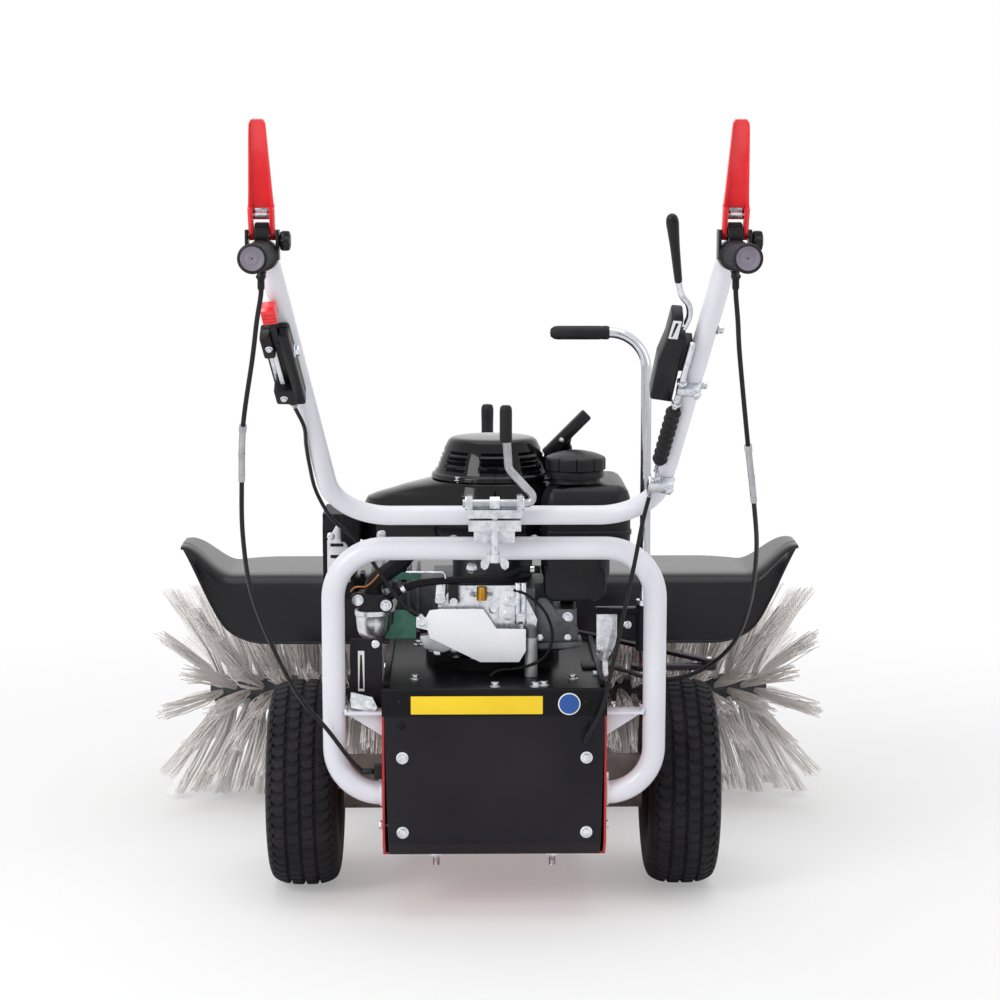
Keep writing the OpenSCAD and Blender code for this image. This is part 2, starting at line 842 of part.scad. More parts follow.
module clamp_cap() {
    color(zinc)
        placed() {
            difference() {
                union() {
                    block([-clamp_half, -238, bar_low + 2], [clamp_half, -196, bar_low + 20]);
                    block([-clamp_half, -264, bar_low + 2], [clamp_half, -236, bar_low + 14]);
                    for (x = [-clamp_half - 2, clamp_half - 6])
                        block([x, cam_y - 10, bar_low + 3], [x + 8, cam_y + 10, cam_z + 12]);
                }
                bar_x([-7 - run, cam_y, cam_z], eye_r + run, 14 + 2 * run);
                bar_x([-60, bar_y, bar_low], bar_r + run, 120);
                bar_x([-60, cam_y, cam_z], cam_r + run, 120);
                bar_z([0, bolt_y, bar_low - 40], 5 + run, 100);
            }
            difference() {
                union() {
                    bar_z([0, bolt_y, bar_low - 62], 5, 62 + cam_z - bar_low - 7);
                    bar_z([0, bolt_y, bar_low - 51], 6.5, 51 - jaw_h - 0.2);
                    bar_x([-7, cam_y, cam_z], eye_r, 14);
                }
                bar_x([-20, cam_y, cam_z], cam_r + run, 40);
            }
        }
}

module wing_nut() {
    color(zinc)
        placed()
            difference() {
                union() {
                    bar_z([0, bolt_y, bar_low - 64], 8, 12.6);
                    both_sides()
                        plate_y([[5, bar_low - 60], [7.5, bar_low - 52], [10, bar_low - 48], [15,
                            bar_low - 55],
                            [20.5, bar_low - 64], [20, bar_low - 71], [15, bar_low - 75], [10,
                            bar_low - 72],
                            [8, bar_low - 66]], bolt_y - 2.5, 5);
                }
                bar_z([0, bolt_y, bar_low - 80], 5 + run, 60);
            }
}

// Cranked clamp lever with a rubber grip
module clamp_crank() {
    knob = [16, cam_y, cam_z + 140];
    path = [[-46, cam_y, cam_z], [66, cam_y, cam_z], [20, cam_y, cam_z + 50], knob];
    color(zinc)
        placed() {
            difference() {
                sweep(rounded(path, [9, 14], 5), cam_r, 16);
                bar_z(knob - [0, 0, 52], 12, 80);
            }
            color(rubber)
                bar_z(knob - [0, 0, 52], 9, 54);
        }
}

// Scale plate with white strip and a zinc pointer bracket, left of the box
scale_gap = 6;
module scale_plate() {
    x0 = frame_r + scale_gap - frame_half;
    w = -box_half - run - x0;
    color(black_paint)
        placed() {
            block([x0, -172, 302], [x0 + w, -168, 420]);
            color("#f2f2ee")
                block([x0 + 0.25 * w, -172.9, 341], [x0 + 0.44 * w, -172, 402]);
            color(zinc)
                union() {
                    block([x0 + 0.04 * w, -200, 330], [x0 + 0.75 * w, -173.2, 333]);
                    block([x0 + 0.04 * w, -200, 330], [x0 + 0.12 * w, -173.2, 346]);
                    block([x0 + 0.5 * w, -175.2, 322], [x0 + 0.75 * w, -172.2, 333]);
                }
        }
}

// Bearing bracket of the steering rod, on the deck's right edge
module rod_bracket() {
    color(zinc)
        placed()
            difference() {
                union() {
                    block([136, steer_y - 24, deck_top], [196, steer_y + 24, deck_top + 5]);
                    plate_y([[158, deck_top + 4], [178, deck_top + 4], [rod_x - 4, 402], [rod_x - 4, 446],
                        [158, 446]], steer_y - 4, 8);
                    bar_z([rod_x, steer_y, 380], bush_r, 70);
                }
                bar_z([rod_x, steer_y, 360], rod_r + run, 120);
            }
}

// Bent handlebar tube, clamped at its lower cross tube
bar_path = [[grip_half, -bar_back, grip_z], bar_elbow, bar_knee,
    [-bar_knee[0], bar_knee[1], bar_knee[2]], [-bar_elbow[0], bar_elbow[1], bar_elbow[2]],
    [-grip_half, -bar_back, grip_z]];
module handlebar() {
    color(grey_coat)
        placed()
            sweep(rounded(bar_path, [80, 90, 90, 80], 7), bar_r, 20);
}

module hand_grips() {
    color(rubber)
        placed()
            both_sides()
                translate([grip_half, -bar_back - 3, grip_z])
                    rotate([-90, 0, 0])
                        difference() {
                            union() {
                                cylinder(r = grip_r, h = grip_l);
                                cylinder(r = grip_r + 1.5, h = 6);
                                translate([0, 0, grip_l - 5])
                                    cylinder(r = grip_r + 2, h = 5);
                            }
                            translate([0, 0, 2.8])
                                cylinder(r = bar_r + seat, h = grip_l);
                        }
}

// Lever brackets with cross pin and two cheeks
module lever_brackets() {
    color(black_plastic)
        placed()
            both_sides()
                translate([grip_half, 0, 0])
                    difference() {
                        union() {
                            bar_y([0, lever_y - 16, grip_z], bar_r + 6, 38);
                            block([-lug_half, lever_y - 14, lever_z - 16], [lug_half, lever_y + 20,
                                lever_z + 6]);
                            bar_x([-lug_half, lever_y, lever_z], 7, 2 * lug_half);
                            bar_x([-lug_half - 9, lever_y, lever_z], pin_r, 2 * lug_half + 18);
                            bar_z([3, lever_y + 6, grip_z - bar_r - 18], 5, 14);
                            for (s = [-1, 1])
                                block([s * 19.2 - 2, lever_y - 12, grip_z - 6],
                                    [s * 19.2 + 2, lever_y + 14, lever_z + 8]);
                        }
                        bar_y([0, lever_y - 30, grip_z], bar_r + seat, 70);
                    }
}

// Red hand lever, a tapered channel with two legs on the cross pin
module red_lever() {
    foot = 16.5;
    tip = 11.5;
    color(red_paint)
        placed()
            translate([grip_half, lever_y, lever_z])
                rotate([lever_lean, 0, 0])
                    difference() {
                        union() {
                            plate_y([[-foot, 20], [-foot, 60], [-tip, lever_l - 6], [-tip + 5, lever_l],
                                [tip - 5, lever_l], [tip, lever_l - 6], [foot, 60], [foot, 20]], 4, 6);
                            for (s = [-1, 1]) {
                                plate_x([[-3.5, -5], [3.5, -5], [10, 20], [10, 70], [-7, 70], [-7, 6]],
                                    s * 13.3 - 3.2, 6.4);
                                plate_y([[s * foot, 60], [s * tip, lever_l - 8], [s * (tip - 3),
                                    lever_l - 8],
                                    [s * (foot - 5), 60]], -5, 10);
                            }
                        }
                        bar_x([-30, 0, 0], pin_r + run, 60);
                    }
}

module lever_right() {
    red_lever();
}

module lever_left() {
    mirror([1, 0, 0])
        red_lever();
}

// Throttle housing and its red thumb lever on the left arm
throttle_at = 402;
module throttle_housing() {
    color(black_plastic)
        placed()
            mirror([1, 0, 0])
                on_arm()
                    difference() {
                        union() {
                            block([-9, -bar_r - 27, throttle_at - 114], [30, -bar_r - run,
                                throttle_at + 20]);
                            bar_y([20, -bar_r - 30, throttle_at - 42], 6, 4);
                            bar_x([-14, -bar_r - 14, throttle_at - 22], 5, 6);
                        }
                        block([5, -bar_r - 40, throttle_at - 52], [14, -bar_r - 4, throttle_at + 48]);
                        bar_x([-6, -bar_r - 14, throttle_at], 3 + run, 30);
                    }
}

module throttle_lever() {
    color(red_paint)
        placed()
            mirror([1, 0, 0])
                on_arm() {
                    bar_x([-5, -bar_r - 14, throttle_at], 3, 28);
                    bar_x([5 + run, -bar_r - 14, throttle_at], 8, 9 - 2 * run);
                    block([5 + run, -bar_r - 20, throttle_at], [14 - run, -bar_r - 8, throttle_at + 44]);
                    block([0, -bar_r - 27, throttle_at + 42], [20, -bar_r - 3, throttle_at + 68]);
                }
}

// Shift console and its lever on the right arm
shift_at = 400;
shift_pin = -2;
shift_off = [-18, -20];
console_shape = [[-23, 261], [-54, 264], [-57, 340], [-53, 378], [-53, shift_at + 23], [-37, shift_at + 23],
    [-37, 387], [-26, 384], [-26, 350]];
module shift_console() {
    color(black_plastic)
        placed()
            on_arm()
                difference() {
                    union() {
                        plate_y(console_shape, -16, 28);
                        block([-28, -12, 320], [-bar_r - run, 12, 372]);
                    }
                    bar_x([-60, shift_pin, shift_at], 4 + run, 40);
                }
}

module shift_lever() {
    shank = smooth([[-31, shift_pin, shift_at - 6], [-28, -1, shift_at + 16], [-33, 0, shift_at + 36],
        [-44, 2.7, shift_at + 49], [-52, 8, shift_at + 68]], 4);
    color(zinc)
        placed()
            on_arm() {
                union() {
                    sweep(shank, 4.5, 12);
                    bar_x([-48, shift_pin, shift_at], 4, 20);
                }
                color(black_plastic)
                    translate([-52.2, 8.1, shift_at + 68.6])
                        rotate([-13.1, -15.2, 0])
                            rotate_extrude()
                                polygon([[0, 0], [5, 0], [5.6, 12], [6.4, 52], [8, 80], [8.4, 90], [7, 97],
                                    [3, 101.4], [0, 102]]);
            }
}

// Ribbed bellows below the shift console, on the shift rod between its two brackets
rib_n = 8;
rib_pitch = 14;
bellows_low = 141;
module shift_bellows() {
    top = rib_pitch * rib_n;
    outer = [for (k = [0 : rib_n - 1]) each [[8, rib_pitch * k], [11, rib_pitch * (k + 0.5)]]];
    inner = [for (k = [rib_n - 1 : -1 : 0]) each [[9, rib_pitch * (k + 0.5)], [6, rib_pitch * k]]];
    color(rubber)
        placed()
            on_arm()
                translate([shift_off[0], shift_off[1], bellows_low]) {
                    rotate_extrude()
                        polygon(concat(outer, [[8, top], [4.3, top]], inner, [[4.3, 0]]));
                    color(zinc)
                        union() {
                            translate([0, 0, -50])
                                cylinder(r = 4, h = 225);
                            block([-8, -9, -58], [28, 5.5, -38]);
                            block([-4.5, -7, 146], [28, 5.5, 160]);
                        }
                }
}

// Control cables along their route from the hand controls down to the machine
lug_end = [lug_left[0] - 0.6, lug_left[1] + 8, lug_left[2] + 10];
cable_left = [[-grip_half - 3, lever_y + 6, grip_z - bar_r - 18.4], [-grip_half - 3.5, lever_y + 7,
    grip_z - 50],
    [-grip_half - 11, -612, 915], [-grip_half - 20, -580, 866], [-334, -528, 775], [-339, -505, 700],
    [-342, -470, 620], [-338, -400, 530],
    [-316, -330, 440], [-282, -268, 352], [-246, -226, 296], [-212, -214, 246], lug_end - [16, 0, 0],
    lug_end - [7, 0, 0], lug_end];
cable_right = [[grip_half + 3, lever_y + 6, grip_z - bar_r - 18.4], [grip_half + 3.5, lever_y + 7,
    grip_z - 50],
    [grip_half + 9, -612, 915], [grip_half + 16, -580, 866], [330, -530, 748], [342, -504, 670],
    [356, -430, 590],
    [360, -330, 500], [350, -240, 428],
    [318, -170, 376], [276, -146, 354], [232, -134, 352], [196, -126, 362], [box_half + 6.5, -122, 366]];
cable_anchor = [box_half - 16, -132, deck_top];
module adjuster(path, a, b) {
    p = path[a];
    q = path[b];
    sweep([p, q], cable_r + 2.4, 12);
}

module clutch_cables() {
    color(rubber)
        placed()
            for (c = [cable_left, cable_right])
                union() {
                    sweep(smooth(c, 4), cable_r, 8);
                    color(zinc)
                        adjuster(c, 4, 5);
                }
    color(zinc)
        placed()
            union() {
                block(cable_anchor, cable_anchor + [14, 20, 5]);
                block(cable_anchor + [14, 0, 0], cable_anchor + [22, 20, 22]);
            }
}

function flip(v) = [-v[0], v[1], v[2]];
cable_throttle = [flip(arm_point([10, -bar_r - 14, throttle_at - 114.4])),
    flip(arm_point([10, -bar_r - 14, throttle_at - 132])),
    flip(arm_point([6, -bar_r - 8, 222])), flip(arm_point([12, -bar_r, 174])),
    flip(arm_point([16, 5 - bar_r, 125])), flip(arm_point([18, 11 - bar_r, 62])),
    [-237, -228, 610], [-215, -204, 585], [-197, -178, 562], [-176, -171, 530],
    [-150, -166, 490], [-132, -160, 466], [-112.4, -152, 452]];
shift_start = arm_point([shift_off[0], shift_off[1], bellows_low - 58.6]);
cable_shift = [shift_start, shift_start - arm_z * 30, [212, -254, 600], [202, -243, 540], [188, -240, 470],
    [174, -238, 400], [158, -234, 330], [bolt_x, -230, 284], [bolt_x - 4, -226, 274]];
module control_cables() {
    color(rubber)
        placed() {
            sweep(smooth(cable_throttle, 4), 2.8, 8);
            sweep(smooth(cable_shift, 4), cable_r, 8);
        }
}

// Welded brush arm: pivot yoke, torque tube and post
arm_ear = 8.5;
ear_top = pivot_gap - 0.5;
web_y = 42;
module brush_arm() {
    color(red_paint)
        placed()
            difference() {
                union() {
                    for (s = [-1, 1]) {
                        block([-30, pivot_y, brush_z + s * (ear_top - arm_ear / 2) - arm_ear / 2],
                            [30, pivot_y + web_y + 8, brush_z + s * (ear_top - arm_ear / 2) + arm_ear / 2]);
                        bar_z([0, pivot_y, brush_z + s * (ear_top - arm_ear / 2) - arm_ear / 2],
                            30, arm_ear);
                    }
                    block([-30, pivot_y + web_y, brush_z - ear_top], [30, pivot_y + web_y + 8,
                        brush_z + ear_top]);
                    bar_y([0, pivot_y + web_y, brush_z], tube_r, brush_y - 70 - pivot_y - web_y);
                    block([-boom_half, post_y, brush_z], [boom_half, post_y + 46, boom_top - boom_h]);
                    bar_z([0, pivot_y, brush_z - pivot_gap - pivot_plate - 8], pivot_r, 24);
                    bar_z([0, pivot_y, brush_z - pivot_gap - pivot_plate - 8], pivot_r + 6, 7);
                }
                bar_y([0, pivot_y + web_y - 2, brush_z], tube_r - 7, brush_y);
                bar_z([0, pivot_y, brush_z + 20], pivot_r + seat, 60);
            }
}

// Upper pivot pin with the steering lever on its head
module swing_lever() {
    color(zinc)
        placed() {
            bar_z([0, pivot_y, brush_z + ear_top - arm_ear], pivot_r,
                crank_z - brush_z - ear_top + arm_ear + 2);
            bar_z([0, pivot_y, brush_z + pivot_gap + pivot_plate + 0.5], pivot_r + 6,
                crank_z - brush_z - pivot_gap - pivot_plate - 0.5 + 2);
            steering_crank([0, pivot_y]);
        }
}

// Flat crank with an upright pin at its end
module steering_crank(p) {
    bar_z([p[0], p[1], crank_z], 20, crank_t);
    block([p[0], p[1] - 11, crank_z], [p[0] + steer_r, p[1] + 11, crank_z + crank_t]);
    bar_z([p[0] + steer_r, p[1], crank_z], 12, crank_t);
    bar_z([p[0] + steer_r, p[1], crank_z + 1], link_pin_r, link_t + crank_t + 2);
}

// Upright steering rod with grip, crank and collar
module swing_rod() {
    path = [[rod_x, steer_y, crank_z], [rod_x, steer_y, rod_top], [100, steer_y, rod_top]];
    color(zinc)
        placed() {
            difference() {
                union() {
                    sweep(rounded(path, [56], 8), rod_r, 16);
                    steering_crank([rod_x, steer_y]);
                    bar_z([rod_x, steer_y, 450.4], rod_r + 5, 8);
                }
                bar_x([86, steer_y, rod_top], rod_r + 6, 90.4);
            }
            color(rubber)
                bar_x([86, steer_y, rod_top], 10.5, 90);
        }
}

module swing_link() {
    a = [rod_x + steer_r, steer_y];
    b = [steer_r, pivot_y];
    color(zinc)
        placed()
            difference() {
                union() {
                    for (p = [a, b])
                        bar_z([p[0], p[1], link_z], 11, link_t);
                    translate([a[0], a[1], link_z + 1])
                        rotate([0, 0, atan2(b[1] - a[1], b[0] - a[0])])
                            translate([0, -6, 0])
                                cube([norm(b - a), 12, 6]);
                }
                for (p = [a, b])
                    bar_z([p[0], p[1], link_z - 1], link_pin_r + run, link_t + 2);
            }
}

// Shaft in the torque tube with the cup that takes the ball
module torque_shaft() {
    color(zinc)
        placed()
            difference() {
                union() {
                    bar_y([0, pivot_y - 6, brush_z], 20, 34);
                    bar_y([0, pivot_y + 20, brush_z], shaft_r, brush_y - 40 - pivot_y - 20);
                }
                bar_y([0, pivot_y - 7, brush_z], ball_r + 0.4, ball_r + 7.4);
            }
}

// Gearbox between the two halves of the brush
module brush_gearbox() {
    color(cast_alu)
        placed()
            difference() {
                union() {
                    bar_x([-40, brush_y, brush_z], 48, 80);
                    bar_y([0, brush_y - 69.7, brush_z], 30, 60);
                }
                bar_x([-60, brush_y, brush_z], 12 + run, 120);
                bar_y([0, brush_y - 80, brush_z], shaft_r + run, 44);
            }
}

// Brush shaft with the two cores and end nuts
module brush_core() {
    color("#2b2c2e")
        placed() {
            bar_x([-core_half - 6, brush_y, brush_z], 12, 2 * core_half + 12);
            both_sides() {
                bar_x([42, brush_y, brush_z], core_r, core_half - 42);
                translate([core_half - 1, brush_y, brush_z])
                    rotate([0, 90, 0])
                        cylinder(r = 18, h = 7, $fn = 6);
            }
        }
}

// Tufts of one brush half on their backing sleeve
tuft_foot = 3.6;
tuft_tip = 9.5;
tuft_first = 64;
tuft_last = core_half - 14;
function flare(x) = tuft_flare * pow(max(0, (x - 250) / (tuft_last - 250)), 2.2);
function tuft_ring(x, a, r, w) =
    [for (k = [0 : 2]) let (c = w * cos(120 * k), s = w * sin(120 * k))
        [x + c, r * cos(a) - s * sin(a), r * sin(a) + s * cos(a)]];
module bristle_half() {
    back_r = core_r + 3;
    spots = [for (i = [0 : tuft_rows - 1], j = [0 : tufts_around - 1])
        [tuft_first + (tuft_last - tuft_first) * i / (tuft_rows - 1), 360 * (j + i * 0.5) / tufts_around]];
    tip_r = brush_d / 2 - 0.6;
    ring = [for (s = spots) each concat(tuft_ring(s[0], s[1], core_r + 1.5, tuft_foot),
        tuft_ring(s[0] + flare(s[0]), s[1], sqrt(tip_r * tip_r - tuft_tip * tuft_tip), tuft_tip))];
    face = [for (n = [0 : len(spots) - 1]) let (b = 6 * n)
        each [[b, b + 2, b + 1], [b + 3, b + 4, b + 5], [b, b + 1, b + 4], [b, b + 4, b + 3],
              [b + 1, b + 2, b + 5], [b + 1, b + 5, b + 4], [b + 2, b, b + 3], [b + 2, b + 3, b + 5]]];
    translate([0, brush_y, brush_z])
        resize([0, 0, 0])
            union() {
                polyhedron(points = ring, faces = face);
                rotate([0, 90, 0])
                    translate([0, 0, tuft_first - 14])
                        difference() {
                            cylinder(r = back_r, h = tuft_last - tuft_first + 26, $fn = 18);
                            translate([0, 0, -1])
                                cylinder(r = core_r + 0.4, h = core_half, $fn = 18);
                        }
            }
}

module bristles_right() {
    color(bristle_white)
        placed()
            bristle_half();
}

module bristles_left() {
    color(bristle_white)
        placed()
            mirror([1, 0, 0])
                bristle_half();
}

// Hood over the back of the brush, with upswept ends
guard_nu = 32;
guard_line = [[548, 1], [545, 1], [480, 1], [415, 1], [354, 0], [338, -6], [328, -20], [324, -45],
    [321, -80], [319, -112]];
guard_mid = [[470, 250]];
function ramp(x, a, b) = min(1, max(0, (x - a) / (b - a)));
function guard_point(x, k, t) =
    let (g = guard_line[k], e = abs(x) / guard_half,
         up = ramp(e, 0.84, 0.995),
         rise = 54 * up * up * (3 - 2 * up),
         keep = 1 - 0.97 * pow(ramp(e, 0.72, 0.99), 2.2),
         depth = 1 - 0.72 * pow(ramp(e, 0.7, 1), 2),
         y = g[0] > 354 ? 354 + (g[0] - 354) * depth : g[0],
         z = guard_top + rise + (k > 3 ? g[1] * keep : g[1]),
         d = unit([guard_mid[0][0] - y, guard_mid[0][1] - z]))
    [x, y + d[0] * t, z + d[1] * t];
module brush_guard() {
    n = len(guard_line);
    m = guard_nu + 1;
    skin = [for (t = [0, guard_t], i = [0 : guard_nu], k = [0 : n - 1])
        guard_point(guard_half * sin(90 * (2 * i / guard_nu - 1)), k, t)];
    s = m * n;
    face = [
        for (i = [0 : guard_nu - 1], k = [0 : n - 2]) let (a = i * n + k, b = a + n)
            each [[a, b, b + 1], [a, b + 1, a + 1], [s + a, s + b + 1, s + b], [s + a, s + a + 1,
                s + b + 1]],
        for (i = [0 : guard_nu - 1]) let (a = i * n, b = a + n, c = a + n - 1, d = c + n)
            each [[a, s + b, b], [a, s + a, s + b], [c, d, s + d], [c, s + d, s + c]],
        for (k = [0 : n - 2]) let (a = k, c = s - n + k)
            each [[a, a + 1, s + a + 1], [a, s + a + 1, s + a], [c, s + c + 1, c + 1], [c, s + c,
                s + c + 1]]];
    color(black_plastic)
        placed()
            polyhedron(points = skin, faces = face);
}

// Boom to the front with the sleeve of the support wheel
module boom() {
    color(red_paint)
        placed()
            difference() {
                union() {
                    block([-boom_half, post_y, boom_top - boom_h], [boom_half, castor_y, boom_top]);
                    bar_z([0, castor_y, sleeve_low], sleeve_r, sleeve_top - sleeve_low);
                }
                bar_z([0, castor_y, sleeve_low - 2], column_r + run, sleeve_top - sleeve_low - 4);
                bar_z([0, castor_y, sleeve_low], screw_r + run, 400);
            }
}

// Height crank of the support wheel, with its screw and upright grip
module height_crank() {
    color(zinc)
        placed() {
            union() {
                bar_z([0, castor_y, 330], screw_r, sleeve_top + 16 - 330);
                bar_z([0, castor_y, sleeve_top + 0.5], 12, 16);
                block([-7, castor_y - castor_arm, sleeve_top + 8.5], [7, castor_y, sleeve_top + 14.5]);
                bar_z([0, castor_y - castor_arm, sleeve_top + 8.5], 9, 6);
                bar_z([0, castor_y - castor_arm, sleeve_top + 8.5], 5, 80);
            }
            color(black_plastic)
                difference() {
                    bar_z([0, castor_y - castor_arm, sleeve_top + 14.7], 11.5, 78);
                    bar_z([0, castor_y - castor_arm, sleeve_top + 14], 5 + seat, 75);
                }
        }
}

module castor_column() {
    color(zinc)
        placed()
            difference() {
                bar_z([0, castor_y, column_low], column_r, column_top - column_low);
                bar_z([0, castor_y, 300], screw_r + run, 300);
                bar_z([0, castor_y, column_low - 2], 8 + run, 36);
            }
}

fork_t = 4;
fork_top = column_low - 0.5;
module castor_fork() {
    y = castor_y - castor_trail;
    color(zinc)
        placed()
            difference() {
                union() {
                    block([-fork_in - fork_t, y - 16, fork_top - 6], [fork_in + fork_t,
                        castor_y + 18, fork_top]);
                    both_sides()
                        plate_x([[y - 14, castor_r - 12], [y + 14, castor_r - 12], [castor_y + 18,
                            fork_top - 3],
                            [y - 16, fork_top - 3]], fork_in, fork_t);
                    bar_z([0, castor_y, fork_top - 3], 8, 32);
                    bar_x([-fork_in - 9, y, castor_r], 5, 2 * fork_in + 18);
                }
                block([-fork_in, y - castor_r - 10, castor_r - 30], [fork_in, y + castor_r + 10,
                    castor_r - 29]);
            }
}

module castor_wheel() {
    color(rubber)
        placed()
            translate([0, castor_y - castor_trail, castor_r])
                rotate([0, 90, 0])
                    rotate_extrude()
                        polygon([[5 + run, -19], [16, -19], [16, -8], [38, -8], [40, -castor_w / 2],
                            [castor_r - 5, -castor_w / 2], [castor_r, -castor_w / 2 + 6],
                            [castor_r, castor_w / 2 - 6], [castor_r - 5, castor_w / 2], [40, castor_w / 2],
                            [38, 8], [16, 8], [16, 19], [5 + run, 19]]);
}

base_box();
rear_cover();
box_bolts();
deck();
frame_loop();
transaxle();
angle_box();
drive_input();
brush_input();
belts();
crankshaft();
pto_shaft();
crankcase();
blower_housing();
recoil_cover();
starter_grip();
fuel_tank();
fuel_cap();
carburettor();
control_plate();
control_cover();
muffler();
clamp_saddle();
clamp_cap();
wing_nut();
clamp_crank();
scale_plate();
rod_bracket();
handlebar();
hand_grips();
lever_brackets();
lever_left();
lever_right();
throttle_housing();
throttle_lever();
shift_console();
shift_lever();
shift_bellows();
clutch_cables();
control_cables();
brush_arm();
swing_lever();
swing_rod();
swing_link();
torque_shaft();
brush_gearbox();
brush_core();
bristles_left();
bristles_right();
brush_guard();
boom();
height_crank();
castor_column();
castor_fork();
castor_wheel();
tyre_left();
tyre_right();
hub_left();
hub_right();
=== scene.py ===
import bmesh
import bpy
import numpy as np
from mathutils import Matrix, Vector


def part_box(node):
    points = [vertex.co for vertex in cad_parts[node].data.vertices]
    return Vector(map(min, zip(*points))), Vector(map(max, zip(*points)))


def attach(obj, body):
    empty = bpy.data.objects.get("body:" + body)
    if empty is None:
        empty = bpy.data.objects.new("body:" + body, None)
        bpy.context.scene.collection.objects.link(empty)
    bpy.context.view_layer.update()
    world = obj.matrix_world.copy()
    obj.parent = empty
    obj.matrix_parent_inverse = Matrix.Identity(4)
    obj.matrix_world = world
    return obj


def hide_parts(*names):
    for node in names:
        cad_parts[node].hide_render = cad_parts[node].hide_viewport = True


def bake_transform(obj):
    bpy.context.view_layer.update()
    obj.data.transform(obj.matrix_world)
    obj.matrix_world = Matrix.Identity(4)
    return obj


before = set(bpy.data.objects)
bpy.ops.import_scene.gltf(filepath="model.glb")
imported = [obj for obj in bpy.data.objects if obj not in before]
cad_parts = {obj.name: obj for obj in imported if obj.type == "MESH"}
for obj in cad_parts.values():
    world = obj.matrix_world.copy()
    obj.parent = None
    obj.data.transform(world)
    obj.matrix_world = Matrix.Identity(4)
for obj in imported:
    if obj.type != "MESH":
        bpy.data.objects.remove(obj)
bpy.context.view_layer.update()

# Base box
# A welded box of 4 mm steel plate between the wheels, powder coated red.
# It carries the engine deck, and its front plates hold the pivot of the brush arm.
MM = 0.001
SHAFT_Y = sum(corner.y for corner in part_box("hub_left")) / 2


def metres(points):
    """Machine millimetres, with Y counted from the wheel shaft, as metres in the frame."""
    return np.asarray(points, float) * MM + (0, SHAFT_Y, 0)


def linear(colour):
    """An sRGB hex value as linear red, green, blue and alpha: the sRGB curve undone for each channel."""
    value = np.array([int(colour[i:i + 2], 16) for i in (1, 3, 5)]) / 255
    return (*np.where(value <= 0.04045, value / 12.92, ((value + 0.055) / 1.055) ** 2.4), 1.0)


def add(tree, kind, inputs=None, **settings):
    """Adds a shader node with its settings, and sets or links the inputs that are given."""
    made = tree.nodes.new("ShaderNode" + kind)
    for key, value in settings.items():
        setattr(made, key, value)
    for key, value in (inputs or {}).items():
        if isinstance(value, bpy.types.NodeSocket):
            tree.links.new(value, made.inputs[key])
        else:
            made.inputs[key].default_value = value
    return made


def finish(name, colour, shade, blotch, grain, relief, rough, fixed=None):
    """A surface whose colour drifts to shade over blotch mm. A grain of that many mm, coarser than the real
    one so that it shows, stands relief mm high and moves the roughness between two values. fixed holds the
    values that are the same all over."""
    material = bpy.data.materials.new(name)
    material.use_nodes = True
    tree = material.node_tree
    surface = tree.nodes["Principled BSDF"]
    place = add(tree, "TexCoord").outputs["Object"]
    cloud = add(tree, "TexNoise", {"Vector": place, "Scale": 1 / (blotch * MM), "Detail": 5.0})
    speck = add(tree, "TexNoise", {"Vector": place, "Scale": 1 / (grain * MM), "Detail": 2.0})
    drift = add(tree, "MapRange", {0: cloud.outputs[0], 1: 0.38, 2: 0.68})
    tone = add(tree, "Mix", {0: drift.outputs[0], 6: linear(colour), 7: linear(shade)}, data_type="RGBA")
    dull = add(tree, "MapRange", {0: speck.outputs[0], 1: 0.3, 2: 0.7, 3: rough[0], 4: rough[1]})
    bump = add(tree, "Bump", {"Height": speck.outputs[0], "Distance": relief * MM, "Strength": 1.0})
    tree.links.new(tone.outputs[2], surface.inputs["Base Color"])
    tree.links.new(dull.outputs[0], surface.inputs["Roughness"])
    tree.links.new(bump.outputs[0], surface.inputs["Normal"])
    for key, value in (fixed or {}).items():
        surface.inputs[key].default_value = value
    return material


def dress(node, material, edge=0.8):
    """A CAD solid keeps its shape: its corners are broken by edge mm and it takes the material."""
    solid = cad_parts[node]
    solid.data.materials.clear()
    solid.data.materials.append(material)
    solid.data.polygons.foreach_set("use_smooth", np.ones(len(solid.data.polygons), bool))
    weld = solid.modifiers.new("Weld", "WELD")
    weld.merge_threshold = 0.01 * MM
    bevel = solid.modifiers.new("Bevel", "BEVEL")
    bevel.width = edge * MM
    bevel.segments = 2
    bevel.limit_method = "ANGLE"
    bevel.angle_limit = np.radians(32)
    bevel.use_clamp_overlap = True
    solid.modifiers.new("Normals", "WEIGHTED_NORMAL").keep_sharp = False


# Powder coat is sprayed as dust and baked: a faint orange peel, drawn at 1.6 mm so that it shows.
# Zinc plate is bright. Its darker clouds, a few mm wide, are partly plating and partly painted reflection.
DULL, SATIN, METAL = {"Specular IOR Level": 0.15}, {"Specular IOR Level": 0.25}, {"Metallic": 1.0}
red_coat = finish("red powder coat on steel", "#c3141d", "#a80f17", 120, 1.6, 0.03, (0.28, 0.42),
                  {"Coat Weight": 0.2})
black_coat = finish("black powder coat on steel", "#1b191f", "#232127", 150, 1.4, 0.035, (0.36, 0.5), DULL)
zinc = finish("zinc plate, clear passivated", "#e4e6ea", "#bfc4cc", 9, 2.2, 0.015, (0.2, 0.32), METAL)
dress("base_box", red_coat, 1.0)


